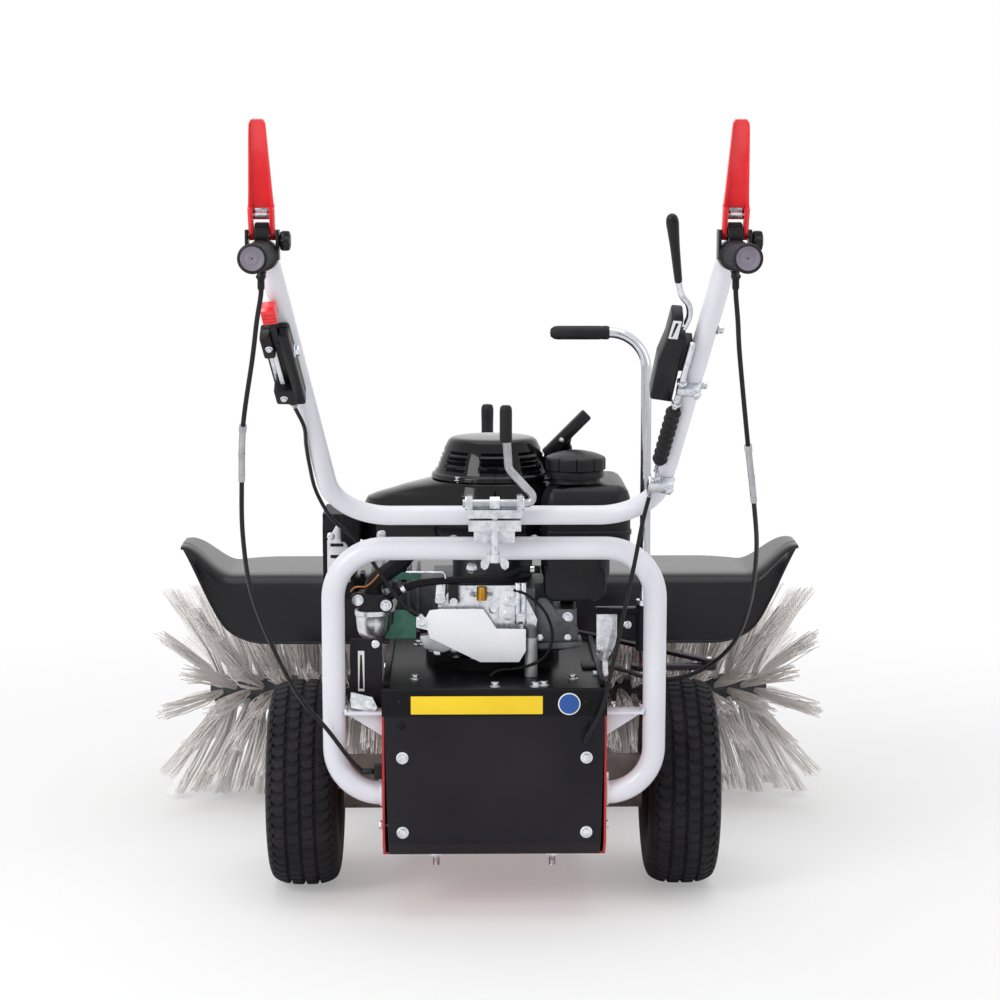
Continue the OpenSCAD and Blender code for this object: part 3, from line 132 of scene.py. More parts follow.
# Rear cover and deck
# The cover is 2.5 mm sheet, folded in below at 45 degrees. The deck closes the box, and its back edge is
# folded down over the cover. Flange bolts hold them, and two studs stick out below.
def shell(rings, joined=False):
    """Rings of points as a closed skin: quads from ring to ring, and a face over the first and last ring,
    unless the last one joins the first."""
    rings = np.asarray(rings, float)
    count, around = rings.shape[:2]
    index = np.arange(count * around).reshape(count, around)
    low, high = (index, np.roll(index, -1, 0)) if joined else (index[:-1], index[1:])
    faces = np.stack([low, np.roll(low, -1, 1), np.roll(high, -1, 1), high], -1).reshape(-1, 4).tolist()
    if not joined:
        faces += [index[0, ::-1].tolist(), index[-1].tolist()]
    return rings.reshape(-1, 3), faces


def inset(outline, distance):
    """A closed outline moved inward: each corner goes along the sum of the normals of its two edges."""
    edge = np.roll(outline, -1, 0) - outline
    edge = edge / np.linalg.norm(edge, axis=1, keepdims=True)
    inward = np.stack([-edge[:, 1], edge[:, 0]], 1)
    before = np.roll(inward, 1, 0)
    return outline + distance * (inward + before) / (1 + (inward * before).sum(1, keepdims=True))


def filleted(outline, radius, steps=5):
    """A closed outline whose corners are rounded by a parabola that leaves each edge where an arc would."""
    p = np.asarray(outline, float)
    back, ahead = np.roll(p, 1, 0) - p, np.roll(p, -1, 0) - p
    back = back / np.linalg.norm(back, axis=1, keepdims=True)
    ahead = ahead / np.linalg.norm(ahead, axis=1, keepdims=True)
    half = np.arccos(np.clip((back * ahead).sum(1), -1, 1)) / 2
    cut = (np.broadcast_to(radius, len(p)) / np.tan(half))[:, None]
    s = np.linspace(0, 1, steps)[None, :, None]
    start, stop = (p + back * cut)[:, None], (p + ahead * cut)[:, None]
    return ((1 - s) ** 2 * start + 2 * s * (1 - s) * p[:, None] + s * s * stop).reshape(-1, p.shape[1])


def prism(outline, origin, across, up, depth, edge=0.6):
    """A flat outline along across and up, carried depth mm square to both. edge breaks both rims."""
    outline = np.asarray(outline, float)
    area = np.cross(outline, np.roll(outline, -1, 0)).sum()
    outline = outline[::-1] if area < 0 else outline
    across, up = np.asarray(across, float), np.asarray(up, float)
    out = np.cross(across, up)
    rows = [(edge, 0), (edge * 0.3, edge * 0.3), (0, edge), (0, depth - edge),
            (edge * 0.3, depth - edge * 0.3), (edge, depth)]
    flat = [(inset(outline, d), h) for d, h in rows]
    return shell([origin + o[:, :1] * across + o[:, 1:] * up + h * out for o, h in flat])


RIGHT, AHEAD, UP = np.eye(3)


def standing(outline, start, depth, edge=0.6):
    """An outline in x and z as a prism that starts at y = start and is carried to the rear."""
    return prism(outline, (0, start, 0), RIGHT, UP, depth, edge)


def circle(count):
    """Angles in that many equal steps round a circle."""
    return np.linspace(0, 2 * np.pi, count, endpoint=False)


def lathe(profile, centre, axis, sides=40, joined=False):
    """A profile of radius and height turned about an axis through centre. joined closes a ring profile."""
    profile = np.asarray(profile, float)
    axis = np.asarray(axis, float) / np.linalg.norm(axis)
    side = np.cross(axis, np.eye(3)[np.argmin(np.abs(axis))])
    side = side / np.linalg.norm(side)
    turn = circle(sides)[:, None]
    spoke = np.cos(turn) * side + np.sin(turn) * np.cross(axis, side)
    return shell(centre + profile[:, :1, None] * spoke + profile[:, 1:, None] * axis, joined)


def block(low, high, edge=1.0, corner=0.0):
    """A rectangular block between two corner points, with round upright edges and broken rims."""
    low, high = np.asarray(low, float), np.asarray(high, float)
    size = high - low
    outline = np.array([(0, 0), (size[0], 0), (size[0], size[1]), (0, size[1])])
    outline = filleted(outline, corner) if corner else outline
    return prism(outline, low, RIGHT, AHEAD, size[2], edge)


def hexagon(across):
    """Six corners of a hexagon with that distance across its flats."""
    turn = np.radians(np.arange(6) * 60 + 30)
    return np.stack([np.cos(turn), np.sin(turn)], 1) * across / np.sqrt(3)


def bolt(head, axis, across=13, height=7, flange=9.5, tail=8):
    """A flange bolt: a collar on the surface, a hexagon with a chamfered top, and a shank the other way."""
    head, axis = np.asarray(head, float), np.asarray(axis, float) / np.linalg.norm(axis)
    side = np.cross(axis, np.eye(3)[np.argmin(np.abs(axis))])
    side = side / np.linalg.norm(side)
    six = prism(hexagon(across), head + axis * 1.2, side, np.cross(axis, side), height - 1.2, across * 0.06)
    collar = lathe([(across * 0.3, -tail), (across * 0.3, 0), (flange, 0), (flange, 1), (across * 0.5, 2)],
                   head, axis, 28)
    return [six, collar]


def screws(look, spots, axis, *sizes):
    """Equal bolts at several spots, each part with its material."""
    return [(part, look) for spot in spots for part in bolt(spot, axis, *sizes)]


def piece(name, body, parts, replaces=(), sharp=38):
    """Joins shells, each with its material, into one object at the origin. Closed skins are turned outward,
    and edges over sharp degrees stay crisp. It rides on a body and stands for the CAD nodes named."""
    points, faces, picks, looks, first = [], [], [], [], 0
    for (spots, polygons), look in parts:
        looks += [] if look in looks else [look]
        points.append(spots)
        faces += [[first + i for i in polygon] for polygon in polygons]
        picks += [looks.index(look)] * len(polygons)
        first += len(spots)
    mesh = bpy.data.meshes.new(name)
    mesh.from_pydata(metres(np.concatenate(points)), [], faces)
    for look in looks:
        mesh.materials.append(look)
    mesh.polygons.foreach_set("material_index", picks)
    mesh.polygons.foreach_set("use_smooth", np.ones(len(faces), bool))
    skin = bmesh.new()
    skin.from_mesh(mesh)
    bmesh.ops.recalc_face_normals(skin, faces=skin.faces)
    skin.to_mesh(mesh)
    skin.free()
    mesh.set_sharp_from_angle(angle=np.radians(sharp))
    thing = bpy.data.objects.new(name, mesh)
    bpy.context.scene.collection.objects.link(thing)
    if replaces:
        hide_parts(*replaces)
    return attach(thing, body) if body else thing


BOX_HALF, COVER_BACK, LIP_BACK, DECK_TOP = 166, -217.8, -219.4, 354
sheet_line = np.array([(COVER_BACK, 348), (COVER_BACK, 121), (COVER_BACK + 23.5, 97.2)])
cover_s = np.linspace(0, 1, 9)
fold = sheet_line[1] + np.outer((1 - cover_s) ** 2, (0, 6)) + np.outer(cover_s ** 2, (4.2, -4.2))
line = np.vstack([sheet_line[:1], fold, sheet_line[2:]])
skin_out = line + np.linspace(0, 1, len(line))[:, None] ** 4 * (1.8, 1.8) + (2.4, 0)
loop = np.vstack([line, skin_out[::-1]])
half_width = 157 + 6.5 * (loop[:, 1] - 97) / 252
cover_rings = [np.column_stack([half_width * side, loop]) for side in (-1, -0.985, 0, 0.985, 1)]
piece("rear_cover_sheet", "chassis", [(shell(cover_rings), black_coat)], ["rear_cover"])

# Gloss enamel flows out flat and mirrors sharply. The satin one has a fine peel that spreads highlights.
gloss_coat = finish("gloss black enamel", "#0b0a0c", "#110f13", 180, 2.5, 0.004, (0.03, 0.08), SATIN)
satin_coat = finish("satin black enamel on sheet", "#0c0b0e", "#121014", 160, 1.6, 0.03, (0.3, 0.44), DULL)
deck_s = np.linspace(0, np.pi / 2, 7)
bend = np.column_stack([-214 - 5.5 * np.sin(deck_s), 348.5 + 5.5 * np.cos(deck_s)])
upper = np.vstack([[(172, DECK_TOP)], bend, [(LIP_BACK - 0.1, 313)]])
lower = np.vstack([[(172, 352)], bend - (-1.6, 1.6), [(-218, 313)]])
deck_loop = np.vstack([upper, lower[::-1]])
deck_rings = [np.column_stack([np.full(len(deck_loop), x), deck_loop])
              for x in (-BOX_HALF, -164.5, 164.5, BOX_HALF)]
rails = [block((s * 160 - 4, -205, 353.8), (s * 160 + 4, 165, 363), 1.2) for s in (-1, 1)]
deck_spots = [(1, -204), (60, -204), (73, -196), (-118, -150), (118, -150), (-118, 120), (118, 120)]
deck_parts = [(part, satin_coat) for part in (shell(deck_rings), *rails)]
deck_parts += screws(zinc, [(*spot, DECK_TOP) for spot in deck_spots], UP, 10, 7, 8)
piece("deck_plate", "chassis", deck_parts, ["deck"])

cover_spots = [(x, COVER_BACK, z) for x in (-136, 136) for z in (137, 250)]
fasteners = screws(zinc, cover_spots, -AHEAD, 12, 7, 9)
small_screws = [lathe([(3, 6), (3, 0), (6.2, 0), (6, -1.6), (4, -3), (1, -3.4)], (x, y, z), AHEAD, 24)
                for x in (-137, 137) for y, z in ((COVER_BACK, 299), (LIP_BACK, 332))]
STUD_Y, STUD_Z = -175, 90
ridge = np.arange(0, 14.1, 0.7)
thread = np.column_stack([5 - 0.45 * (np.arange(len(ridge)) % 2), -ridge])
for x in (-87, 87):
    fasteners += [
        (lathe(np.vstack([[(5, 6)], thread, [(3.6, -14.6)]]), (x, STUD_Y, STUD_Z), UP, 28), zinc),
        (prism(hexagon(16), (x, STUD_Y, STUD_Z + 0.2), RIGHT, AHEAD, 5.8, 0.9), zinc),
        (prism(hexagon(16), (x, STUD_Y, STUD_Z + 10), RIGHT, AHEAD, 7, 0.9), zinc),
    ]
side_spots = [(-150, 130), (-150, 205), (-60, 320), (110, 320), (110, 130)]
for s in (-1, 1):
    fasteners += screws(zinc, [(s * BOX_HALF, *spot) for spot in side_spots], s * RIGHT, 12, 7, 9)
fasteners += [(part, satin_coat) for part in small_screws]
piece("box_fasteners", "chassis", fasteners, ["box_bolts"])

# Two plain patches of vinyl film, stuck on the fold: even, strong colours with a soft sheen.
yellow_vinyl = finish("yellow vinyl film", "#f3cf16", "#eec70f", 60, 2, 0.004, (0.3, 0.38))
blue_vinyl = finish("blue vinyl film", "#1d56a8", "#184c9a", 60, 2, 0.004, (0.3, 0.38))
white_vinyl = finish("white vinyl film", "#eeeeec", "#e6e6e4", 60, 2, 0.004, (0.3, 0.38))
DISC_X, DISC_Z = 110, 331
patch = filleted([(-123, 316), (71, 316), (71, 343), (-123, 343)], 1.2)
disc = np.column_stack([np.cos(circle(48)), np.sin(circle(48))])
patches = [(standing(patch, LIP_BACK, 0.5, 0.1), yellow_vinyl),
           (prism(disc * 16.5, (DISC_X, LIP_BACK, DISC_Z), RIGHT, UP, 0.5, 0.1), white_vinyl),
           (prism(disc * 14.8, (DISC_X, LIP_BACK - 0.4, DISC_Z), RIGHT, UP, 0.4, 0.1), blue_vinyl)]
piece("safety_patches", "chassis", patches)


# Frame loop
# One bent steel tube behind the engine, in silver powder coat. Its two feet, and a gusset above each of
# them, are welded to the sides of the box.
def arc_corner(a, b, c, radius, steps):
    """The round of a bend at b: an arc of that radius that touches both straights."""
    u, v = (a - b) / np.linalg.norm(a - b), (c - b) / np.linalg.norm(c - b)
    angle = np.arccos(u @ v)
    middle = b + (u + v) / np.linalg.norm(u + v) * radius / np.sin(angle / 2)
    first, last = b + u * radius / np.tan(angle / 2) - middle, b + v * radius / np.tan(angle / 2) - middle
    swing = np.pi - angle
    s = np.linspace(0, 1, steps)[:, None]
    return middle + (np.sin((1 - s) * swing) * first + np.sin(s * swing) * last) / np.sin(swing)


def bent(points, radii, steps=16):
    """A tube's centre line: straights joined by bends of the given radii."""
    p = np.asarray(points, float)
    bends = [arc_corner(p[i], p[i + 1], p[i + 2], radii[i], steps) for i in range(len(p) - 2)]
    return np.vstack([p[:1], *bends, p[-1:]])


def flowing(points, steps=6):
    """A smooth curve through chosen points: each span is the cubic that four points in a row set."""
    p = np.asarray(points, float)
    q = np.vstack([p[:1], p, p[-1:]])
    a, b, c, d = (q[i:len(q) - 3 + i, None] for i in range(4))
    s = np.linspace(0, 1, steps, endpoint=False)[None, :, None]
    curve = 0.5 * (2 * b + (c - a) * s + (2 * a - 5 * b + 4 * c - d) * s ** 2
                   + (3 * b - a - 3 * c + d) * s ** 3)
    return np.vstack([curve.reshape(-1, p.shape[1]), p[-1:]])


def tube(path, radius, sides=24):
    """A round section carried along a path without twist. radius is one value, or one for each point."""
    path = np.asarray(path, float)
    ahead = np.gradient(path, axis=0)
    ahead = ahead / np.linalg.norm(ahead, axis=1, keepdims=True)
    carried = np.cross(ahead[0], np.eye(3)[np.argmin(np.abs(ahead[0]))])
    side = np.empty_like(path)
    for i, way in enumerate(ahead):
        carried = carried - way * (carried @ way)
        carried = carried / np.linalg.norm(carried)
        side[i] = carried
    turn = circle(sides)[None, :, None]
    size = np.broadcast_to(radius, len(path))[:, None, None]
    over = np.cross(ahead, side)
    return shell(path[:, None] + size * (np.cos(turn) * side[:, None] + np.sin(turn) * over[:, None]))


# Silver powder coat holds fine flake: pale, faintly blue, with a broad soft highlight.
silver_coat = finish("silver powder coat on steel tube", "#e1e1e9", "#d8d8e1", 140, 1.6, 0.012,
                     (0.26, 0.38), {"Coat Weight": 0.15})
FRAME_HALF, FRAME_R, FRAME_TOP, FOOT_X, FOOT_Y, FOOT_Z = 237, 17, 560, BOX_HALF + 0.3, -190, 190
frame_points = [(FOOT_X, FOOT_Y, FOOT_Z), (FRAME_HALF, FOOT_Y, FOOT_Z), (FRAME_HALF, -200, FRAME_TOP),
                (-FRAME_HALF, -200, FRAME_TOP), (-FRAME_HALF, FOOT_Y, FOOT_Z), (-FOOT_X, FOOT_Y, FOOT_Z)]
frame_parts = [tube(bent(frame_points, (70, 75, 75, 70)), FRAME_R, 48)]
for s in (-1, 1):
    inner, outer = s * FOOT_X, s * (FRAME_HALF - FRAME_R + 1)
    bead = np.column_stack([np.full(9, outer - s), np.linspace(-207, -177, 9), np.full(9, 318)])
    foot = np.linspace(0, 2 * np.pi, 40)
    weld_ring = np.column_stack([np.full(40, inner + s * 1.5), FOOT_Y + 17.5 * np.cos(foot),
                                 FOOT_Z + 17.5 * np.sin(foot)])
    frame_parts += [
        block((min(inner, outer), -208, 312), (max(inner, outer), -176, 317), 1.2),
        standing([(inner, 313), (inner, 278), (outer, 313)], -189, 6, 0.8),
        tube(bead, 2.6 + 0.5 * np.sin(np.arange(9) * 2.4), 10),
        tube(weld_ring, 2.4, 8),
    ]
piece("frame_tube", "chassis", [(p, silver_coat) for p in frame_parts], ["frame_loop"])

# Wheels
# Pneumatic tyres, 320 mm over a tread of four ribs with curved cross cuts, on pressed steel discs.
# The disc, its half shaft and the shaft nut turn together.

# Tyre rubber is dull and greys with dust. The rim's enamel is smooth, and turned steel is bright.
tyre_rubber = finish("black tyre rubber", "#19181b", "#242226", 40, 1.2, 0.06, (0.5, 0.72), DULL)
rim_coat = finish("silver enamel on pressed rim", "#c2c4c8", "#b4b6bb", 90, 2, 0.02, (0.3, 0.42))
shaft_steel = finish("bright turned steel", "#b4b6b9", "#9fa2a6", 20, 1.5, 0.015, (0.24, 0.36), METAL)
WHEEL_X, WHEEL_Z, TYRE_R = 292, 160, 160
wall = flowing([(76, 38), (82, 46), (98, 53), (118, 55), (136, 53.4), (147, 49.4), (152, 44)], 4)
crown_x = np.linspace(44, -44, 78)[1:-1]
crown_r = TYRE_R - 8 * (np.abs(crown_x) / 44) ** 3.2
contour = np.vstack([wall, np.column_stack([crown_r, crown_x]), wall[::-1] * (1, -1),
                     [(79, -20), (79, 20)]])
LUGS, SAMPLES, RIB, GROOVE_DEEP, CUT_DEEP = 54, 13, 21.8, 5.5, 4.6
turn = circle(LUGS * SAMPLES)[:, None]
r0, x0 = contour[None, :, 0], contour[None, :, 1]
on_tread = np.clip((51.5 - np.abs(x0)) / 5, 0, 1) * (r0 > 120)
grooves = sum(np.clip(1.5 - np.abs(x0 - g) / 2.1, 0, 1) for g in (-RIB, 0, RIB))
rib = (np.floor(x0 / RIB) + 0.5) * RIB
local = np.clip((x0 - rib) / (RIB / 2), -2.3, 1.9)
phase = (turn / (2 * np.pi) * LUGS + 0.32 * local ** 2 + 0.5 * (np.floor(x0 / RIB) % 2)) % 1
cut = np.clip(2.2 - np.abs(phase - 0.5) * 11, 0, 1) * (0.62 + 0.38 * np.abs(local).clip(0, 1))
height = r0 - on_tread * np.maximum(GROOVE_DEEP * grooves.clip(0, 1), CUT_DEEP * cut)
height = height - 1.5 * np.exp(-((r0 - 106) / 2) ** 2) * (np.abs(x0) > 46)
tyre_rings = np.stack([np.broadcast_to(x0, height.shape), height * np.cos(turn),
                       WHEEL_Z + height * np.sin(turn)], -1)
rim_line = [(75.6, -38), (78, -40), (78, -36), (74, -33), (70, -24), (66, -10), (66, 10), (70, 24),
            (74, 33), (78, 36), (78, 40), (75.6, 38), (71, 36), (66, 26), (62, 12), (58, 6), (40, 4),
            (27, 8), (24, 32), (13, 32), (13, -32), (24, -32), (27, -8), (40, -4), (58, -6), (62, -12),
            (66, -26), (71, -36)]
for s, side in ((-1, "left"), (1, "right")):
    centre = np.array((s * WHEEL_X, 0, WHEEL_Z))
    piece("tyre_tread_" + side, side + "_wheel",
          [(shell(tyre_rings * (s, 1, 1) + (centre[0], 0, 0), True), tyre_rubber)], ["tyre_" + side], 60)
    way = s * RIGHT
    lugs = [centre + (s * 5, 48 * np.cos(a), 48 * np.sin(a)) for a in circle(4) + 0.8]
    valve = centre + np.array([(s * 14, 0, 60), (s * 22, 0, 60), (s * 31, 0, 58)])
    parts = [
        (lathe(rim_line, centre, way, 72, True), rim_coat),
        (tube(valve, (4, 3.6, 3), 12), tyre_rubber),
        *screws(zinc, lugs, way, 13, 8, 9.5),
        (prism(hexagon(33), centre + way * 34.5, AHEAD, (0, 0, s), 11.5, 1.6), zinc),
        (lathe([(13, 31), (22, 31), (22, 34.5), (13, 34.5)], centre, way, 40), zinc),
        (lathe([(11, -256), (12.5, -254), (12.5, 33)], centre, way), shaft_steel),
        (lathe([(12.5, 44), (12.5, 46.5), (11, 48)], centre, way), shaft_steel),
    ]
    piece("wheel_disc_" + side, side + "_wheel", parts, ["hub_" + side])

# Drive under the deck
# Cast gearboxes for the wheels and the brush, two V belts on turned pulleys, and a shaft with a ball joint.
# The cast shaft housings pass through the box sides and are bolted there by round flanges.

# Sand-cast aluminium is dull with a coarse skin. Die-cast aluminium is paler, with a finer one.
sand_cast = finish("aluminium, sand cast", "#8b8782", "#6f6b66", 30, 1.8, 0.14, (0.5, 0.7),
                   {"Metallic": 0.5})
cast_aluminium = finish("aluminium, die cast", "#b3b5b8", "#94979b", 26, 1.6, 0.07, (0.36, 0.52),
                        {"Metallic": 0.85})
for node, look, edge in (("transaxle", sand_cast, 2.0), ("angle_box", sand_cast, 3.0),
                         ("belts", tyre_rubber, 0.6), ("drive_input", shaft_steel, 0.5),
                         ("brush_input", shaft_steel, 0.5), ("pto_shaft", shaft_steel, 0.5),
                         ("crankshaft", shaft_steel, 0.5)):
    dress(node, look, edge)
flange_line = [(22.3, 0), (42, 0), (42, 5), (40, 7), (30, 8), (27, 16), (22.3, 17)]
flanges = []
for s in (-1, 1):
    seat = np.array((s * BOX_HALF, 0, WHEEL_Z))
    flanges.append((lathe(flange_line, seat, s * RIGHT, 48, True), sand_cast))
    spots = [seat + (s * 7, 35 * np.cos(a), 35 * np.sin(a)) for a in circle(4) + 0.78]
    flanges += screws(zinc, spots, s * RIGHT, 10, 6, 7, 6)
piece("shaft_flanges", "chassis", flanges)

# Brush
# Tufts of nylon bristle pressed into two sleeves on a driven steel tube. The outer tufts splay.
# The gearbox between the halves hangs on the brush arm.

# Stoving paint is smooth and dark.
core_coat = finish("dark grey stoving paint", "#3a393e", "#303034", 60, 2, 0.03, (0.35, 0.5))
dress("brush_core", core_coat, 0.8)
dress("brush_gearbox", cast_aluminium, 3.0)
dress("torque_shaft", shaft_steel, 0.5)
# Extruded nylon is milky: light enters it a little, and each strand has its own tone.
bristle = finish("nylon bristle, extruded", "#fffdfb", "#f2edea", 25, 3, 0.02, (0.4, 0.55),
                 {"Subsurface Weight": 0.15, "Subsurface Radius": (0.0008, 0.0007, 0.0006),
                  "Subsurface Scale": 1.0})
tree = bristle.node_tree
tint = add(tree, "Attribute", attribute_name="tint")
mixing = next(node for node in tree.nodes if node.bl_idname == "ShaderNodeMix")
tree.links.new(tint.outputs["Fac"], mixing.inputs[0])
BRUSH_Y, BRUSH_Z, CORE_R = 540, 191.5, 22
ROWS, AROUND, STRANDS, TIP_R = 18, 9, 34, 188.6
FIRST_X, LAST_X, SPLAY_X, SPLAY = 64, 478, 250, 84


def bristle_half(random):
    """Strands in tufts. A strand starts in a tight disc on the core and ends in a wider one at the tip.
    It bows a little. Past SPLAY_X its tip leans outward with the 2.2nd power of the distance."""
    i, j, _ = np.meshgrid(np.arange(ROWS), np.arange(AROUND), np.arange(STRANDS), indexing="ij")
    count = i.size
    along = (FIRST_X + (LAST_X - FIRST_X) * i / (ROWS - 1)).ravel()
    swing = (2 * np.pi * (j + 0.5 * i) / AROUND).ravel()
    lean = SPLAY * np.clip((along - SPLAY_X) / (LAST_X - SPLAY_X), 0, None) ** 2.2
    spread, way = np.sqrt(random.random(count)), random.random(count) * 2 * np.pi
    foot = np.stack([spread * np.cos(way), spread * np.sin(way)], 1) * 4.4
    stray = random.normal(0, 2.2, (count, 2))
    bow = random.normal(0, 3.4, (count, 2))
    reach = TIP_R - np.abs(random.normal(0, 3.0, count))
    t = np.array([0, 0.35, 0.7, 1.0])[:, None]
    radius = (CORE_R + 1.5) * (1 - t) + reach * t
    off = foot * (1 + 2.6 * t[..., None]) + stray * t[..., None] + bow * (4 * t * (1 - t))[..., None]
    x = along + lean * t ** 1.25 + off[..., 0]
    side = np.where(np.hypot(radius, off[..., 1]) > TIP_R, 0, off[..., 1])
    deep = np.sqrt(np.clip(radius ** 2 - side ** 2, 1, None))
    thick = np.array([1.35, 1.3, 1.25, 1.0])[:, None]
    rings = []
    for k in range(3):
        turn = 2 * np.pi * k / 3
        flat = side + thick * np.sin(turn)
        rings.append(np.stack([x + thick * np.cos(turn), deep * np.cos(swing) - flat * np.sin(swing),
                               deep * np.sin(swing) + flat * np.cos(swing)], -1))
    spots = np.stack(rings, 1).transpose(2, 0, 1, 3)
    index = np.arange(count * 12).reshape(count, 4, 3)
    after = np.roll(index, -1, 2)
    quads = np.stack([index[:, :-1], after[:, :-1], after[:, 1:], index[:, 1:]], -1).reshape(-1, 4)
    ends = np.concatenate([index[:, 0, ::-1], index[:, -1]])
    shade = np.repeat(random.random(count), 12)
    return spots.reshape(-1, 3) + (0, BRUSH_Y, BRUSH_Z), quads.tolist() + ends.tolist(), shade


for s, side in ((-1, "left"), (1, "right")):
    spots, faces, shade = bristle_half(np.random.default_rng(31 + s))
    sleeve = [(CORE_R + 0.4, 50), (CORE_R + 3, 50), (CORE_R + 3, 490), (CORE_R + 0.4, 490)]
    sleeve = lathe(sleeve, (0, BRUSH_Y, BRUSH_Z), s * RIGHT, 40, True)
    half = piece("bristle_strands_" + side, "brush",
                 [((spots * (s, 1, 1), faces), bristle), (sleeve, core_coat)], ["bristles_" + side], 80)
    shade = np.concatenate([shade, np.zeros(len(half.data.vertices) - len(shade))])
    half.data.attributes.new("tint", "FLOAT", "POINT").data.foreach_set("value", shade.astype(np.float32))

# Brush guard
# A hood of black polyethylene, rotation moulded with one rounded upper edge. Its ends sweep up.
# Four round-headed bolts hold it on the boom.

# Rotation moulding leaves a smooth, waxy skin with wide soft highlights.
hood_plastic = finish("black polyethylene, rotation moulded", "#18171b", "#201e23", 90, 1.6, 0.015,
                      (0.15, 0.25), SATIN)
# Toward the ends, where share nears 1, the top rises, the rear skirt fades and the depth shrinks.
GUARD_HALF, GUARD_TOP, END_RISE, EDGE_Y = 522, 430, 54, 354
hood_line = flowing([(548, 1), (520, 1), (480, 1), (415, 1), (364, 0.6), (344, -2.6), (332, -12),
                     (326.5, -28), (323.5, -55), (321, -84), (319, -112)], 5)
hood_x = GUARD_HALF * np.sin(np.linspace(-np.pi / 2, np.pi / 2, 121))[:, None]
share = np.abs(hood_x) / GUARD_HALF
lift = np.clip((share - 0.84) / 0.155, 0, 1)
rise = END_RISE * lift * lift * (3 - 2 * lift)
keep = 1 - 0.97 * np.clip((share - 0.72) / 0.27, 0, 1) ** 2.2
depth = 1 - 0.72 * np.clip((share - 0.7) / 0.3, 0, 1) ** 2
hood_y = hood_line[:, 0]
hood_y = np.where(hood_y > EDGE_Y, EDGE_Y + (hood_y - EDGE_Y) * depth, hood_y)
hood_z = GUARD_TOP + rise + np.where(hood_line[:, 1] < 0, hood_line[:, 1] * keep, hood_line[:, 1])
aim = np.stack([470 - hood_y, 250 - hood_z], -1)
aim = aim / np.linalg.norm(aim, axis=-1, keepdims=True)
outer = np.stack([np.broadcast_to(hood_x, hood_y.shape), hood_y, hood_z], -1)
inner = np.concatenate([outer[..., :1], outer[..., 1:] + 3 * aim], -1)
hood = shell(np.concatenate([outer, inner[:, ::-1]], 1))
lip = tube(outer[2:-2, -1] + (0, -0.4, 0.5), 2.4, 10)
hood_bolts = [lathe([(5, -6), (5, 0), (11, 0), (10.6, 2.5), (7, 5), (1, 6)], (x, y, GUARD_TOP + 1), UP, 28)
              for x in (-9, 9) for y in (400, 500)]
piece("guard_hood", "brush_arm", [(hood, hood_plastic), (lip, hood_plastic)]
      + [(b, zinc) for b in hood_bolts], ["brush_guard"], 50)

# Brush arm and steering
# A welded yoke swings on two upright pins ahead of the box. A tiller rod turns a crank, and a flat link
# carries that turn to an equal crank on the upper pin.

# Chrome mirrors what is around it. Moulded rubber keeps the fine texture of its mould and hardly shines.
chrome = finish("bright chrome plate on tube", "#d5d8dc", "#c6cad0", 60, 4, 0.006, (0.07, 0.14), METAL)
grip_rubber = finish("black rubber, moulded", "#151417", "#1f1d21", 30, 1.4, 0.06, (0.42, 0.58), SATIN)
for node, look, edge in (("brush_arm", red_coat, 1.5), ("swing_lever", black_coat, 1.0),
                         ("swing_link", black_coat, 0.8)):
    dress(node, look, edge)
ROD_X, STEER_Y, ROD_TOP, CRANK_Z = 232, -60, 867, 349.5
rod_path = bent([(ROD_X, STEER_Y, CRANK_Z), (ROD_X, STEER_Y, ROD_TOP), (100, STEER_Y, ROD_TOP)], (56,), 20)
turn = np.linspace(0.5 * np.pi, 1.5 * np.pi, 14)
crank_shape = np.vstack([np.column_stack([20 * np.cos(turn), 20 * np.sin(turn)]), [(18, -11), (88, -11)],
                         np.column_stack([100 + 12 * np.cos(turn + np.pi), 12 * np.sin(turn + np.pi)]),
                         [(88, 11), (18, 11)]])
swell = [(6, 0), (9, 0.6), (10.4, 3), (10.5, 8), (10, 12), (10.5, 16), (10.5, 78), (9.6, 84), (6, 89),
         (1, 90)]
rod_parts = [
    (tube(rod_path, 8, 28), chrome),
    (lathe([(8, 0), (13, 0), (13, 8), (8, 8)], (ROD_X, STEER_Y, 450.4), UP, 32, True), zinc),
    (prism(crank_shape, (ROD_X, STEER_Y, CRANK_Z), RIGHT, AHEAD, 8, 1), black_coat),
    (lathe([(5, 0), (5, 17), (4, 18)], (ROD_X + 100, STEER_Y, CRANK_Z + 1), UP, 20), zinc),
    (lathe(swell, (176, STEER_Y, ROD_TOP), -RIGHT, 40), grip_rubber),
]
piece("tiller_rod", "swing_rod", rod_parts, ["swing_rod"])
stay = [
    (block((136, -84, 354.2), (196, -36, 359), 1, 4), black_coat),
    (standing(filleted([(158, 358), (172, 358), (190, 394), (190, 438), (158, 438)], 2), -56, 8, 1), zinc),
    (standing([(188, 398), (228, 402), (228, 440), (188, 440)], -57, 6, 1), black_coat),
    (block((157, -71, 437), (224, -50, 447), 3), satin_coat),
    (lathe([(8.3, 0), (13, 0), (13, 70), (8.3, 70)], (ROD_X, STEER_Y, 380), UP, 36, True), black_coat),
    *screws(zinc, [(x, -64, z) for x, z in ((164, 382), (206, 420))], -AHEAD, 8, 5, 6, 6),
]
piece("rod_stay", "chassis", stay, ["rod_bracket"])
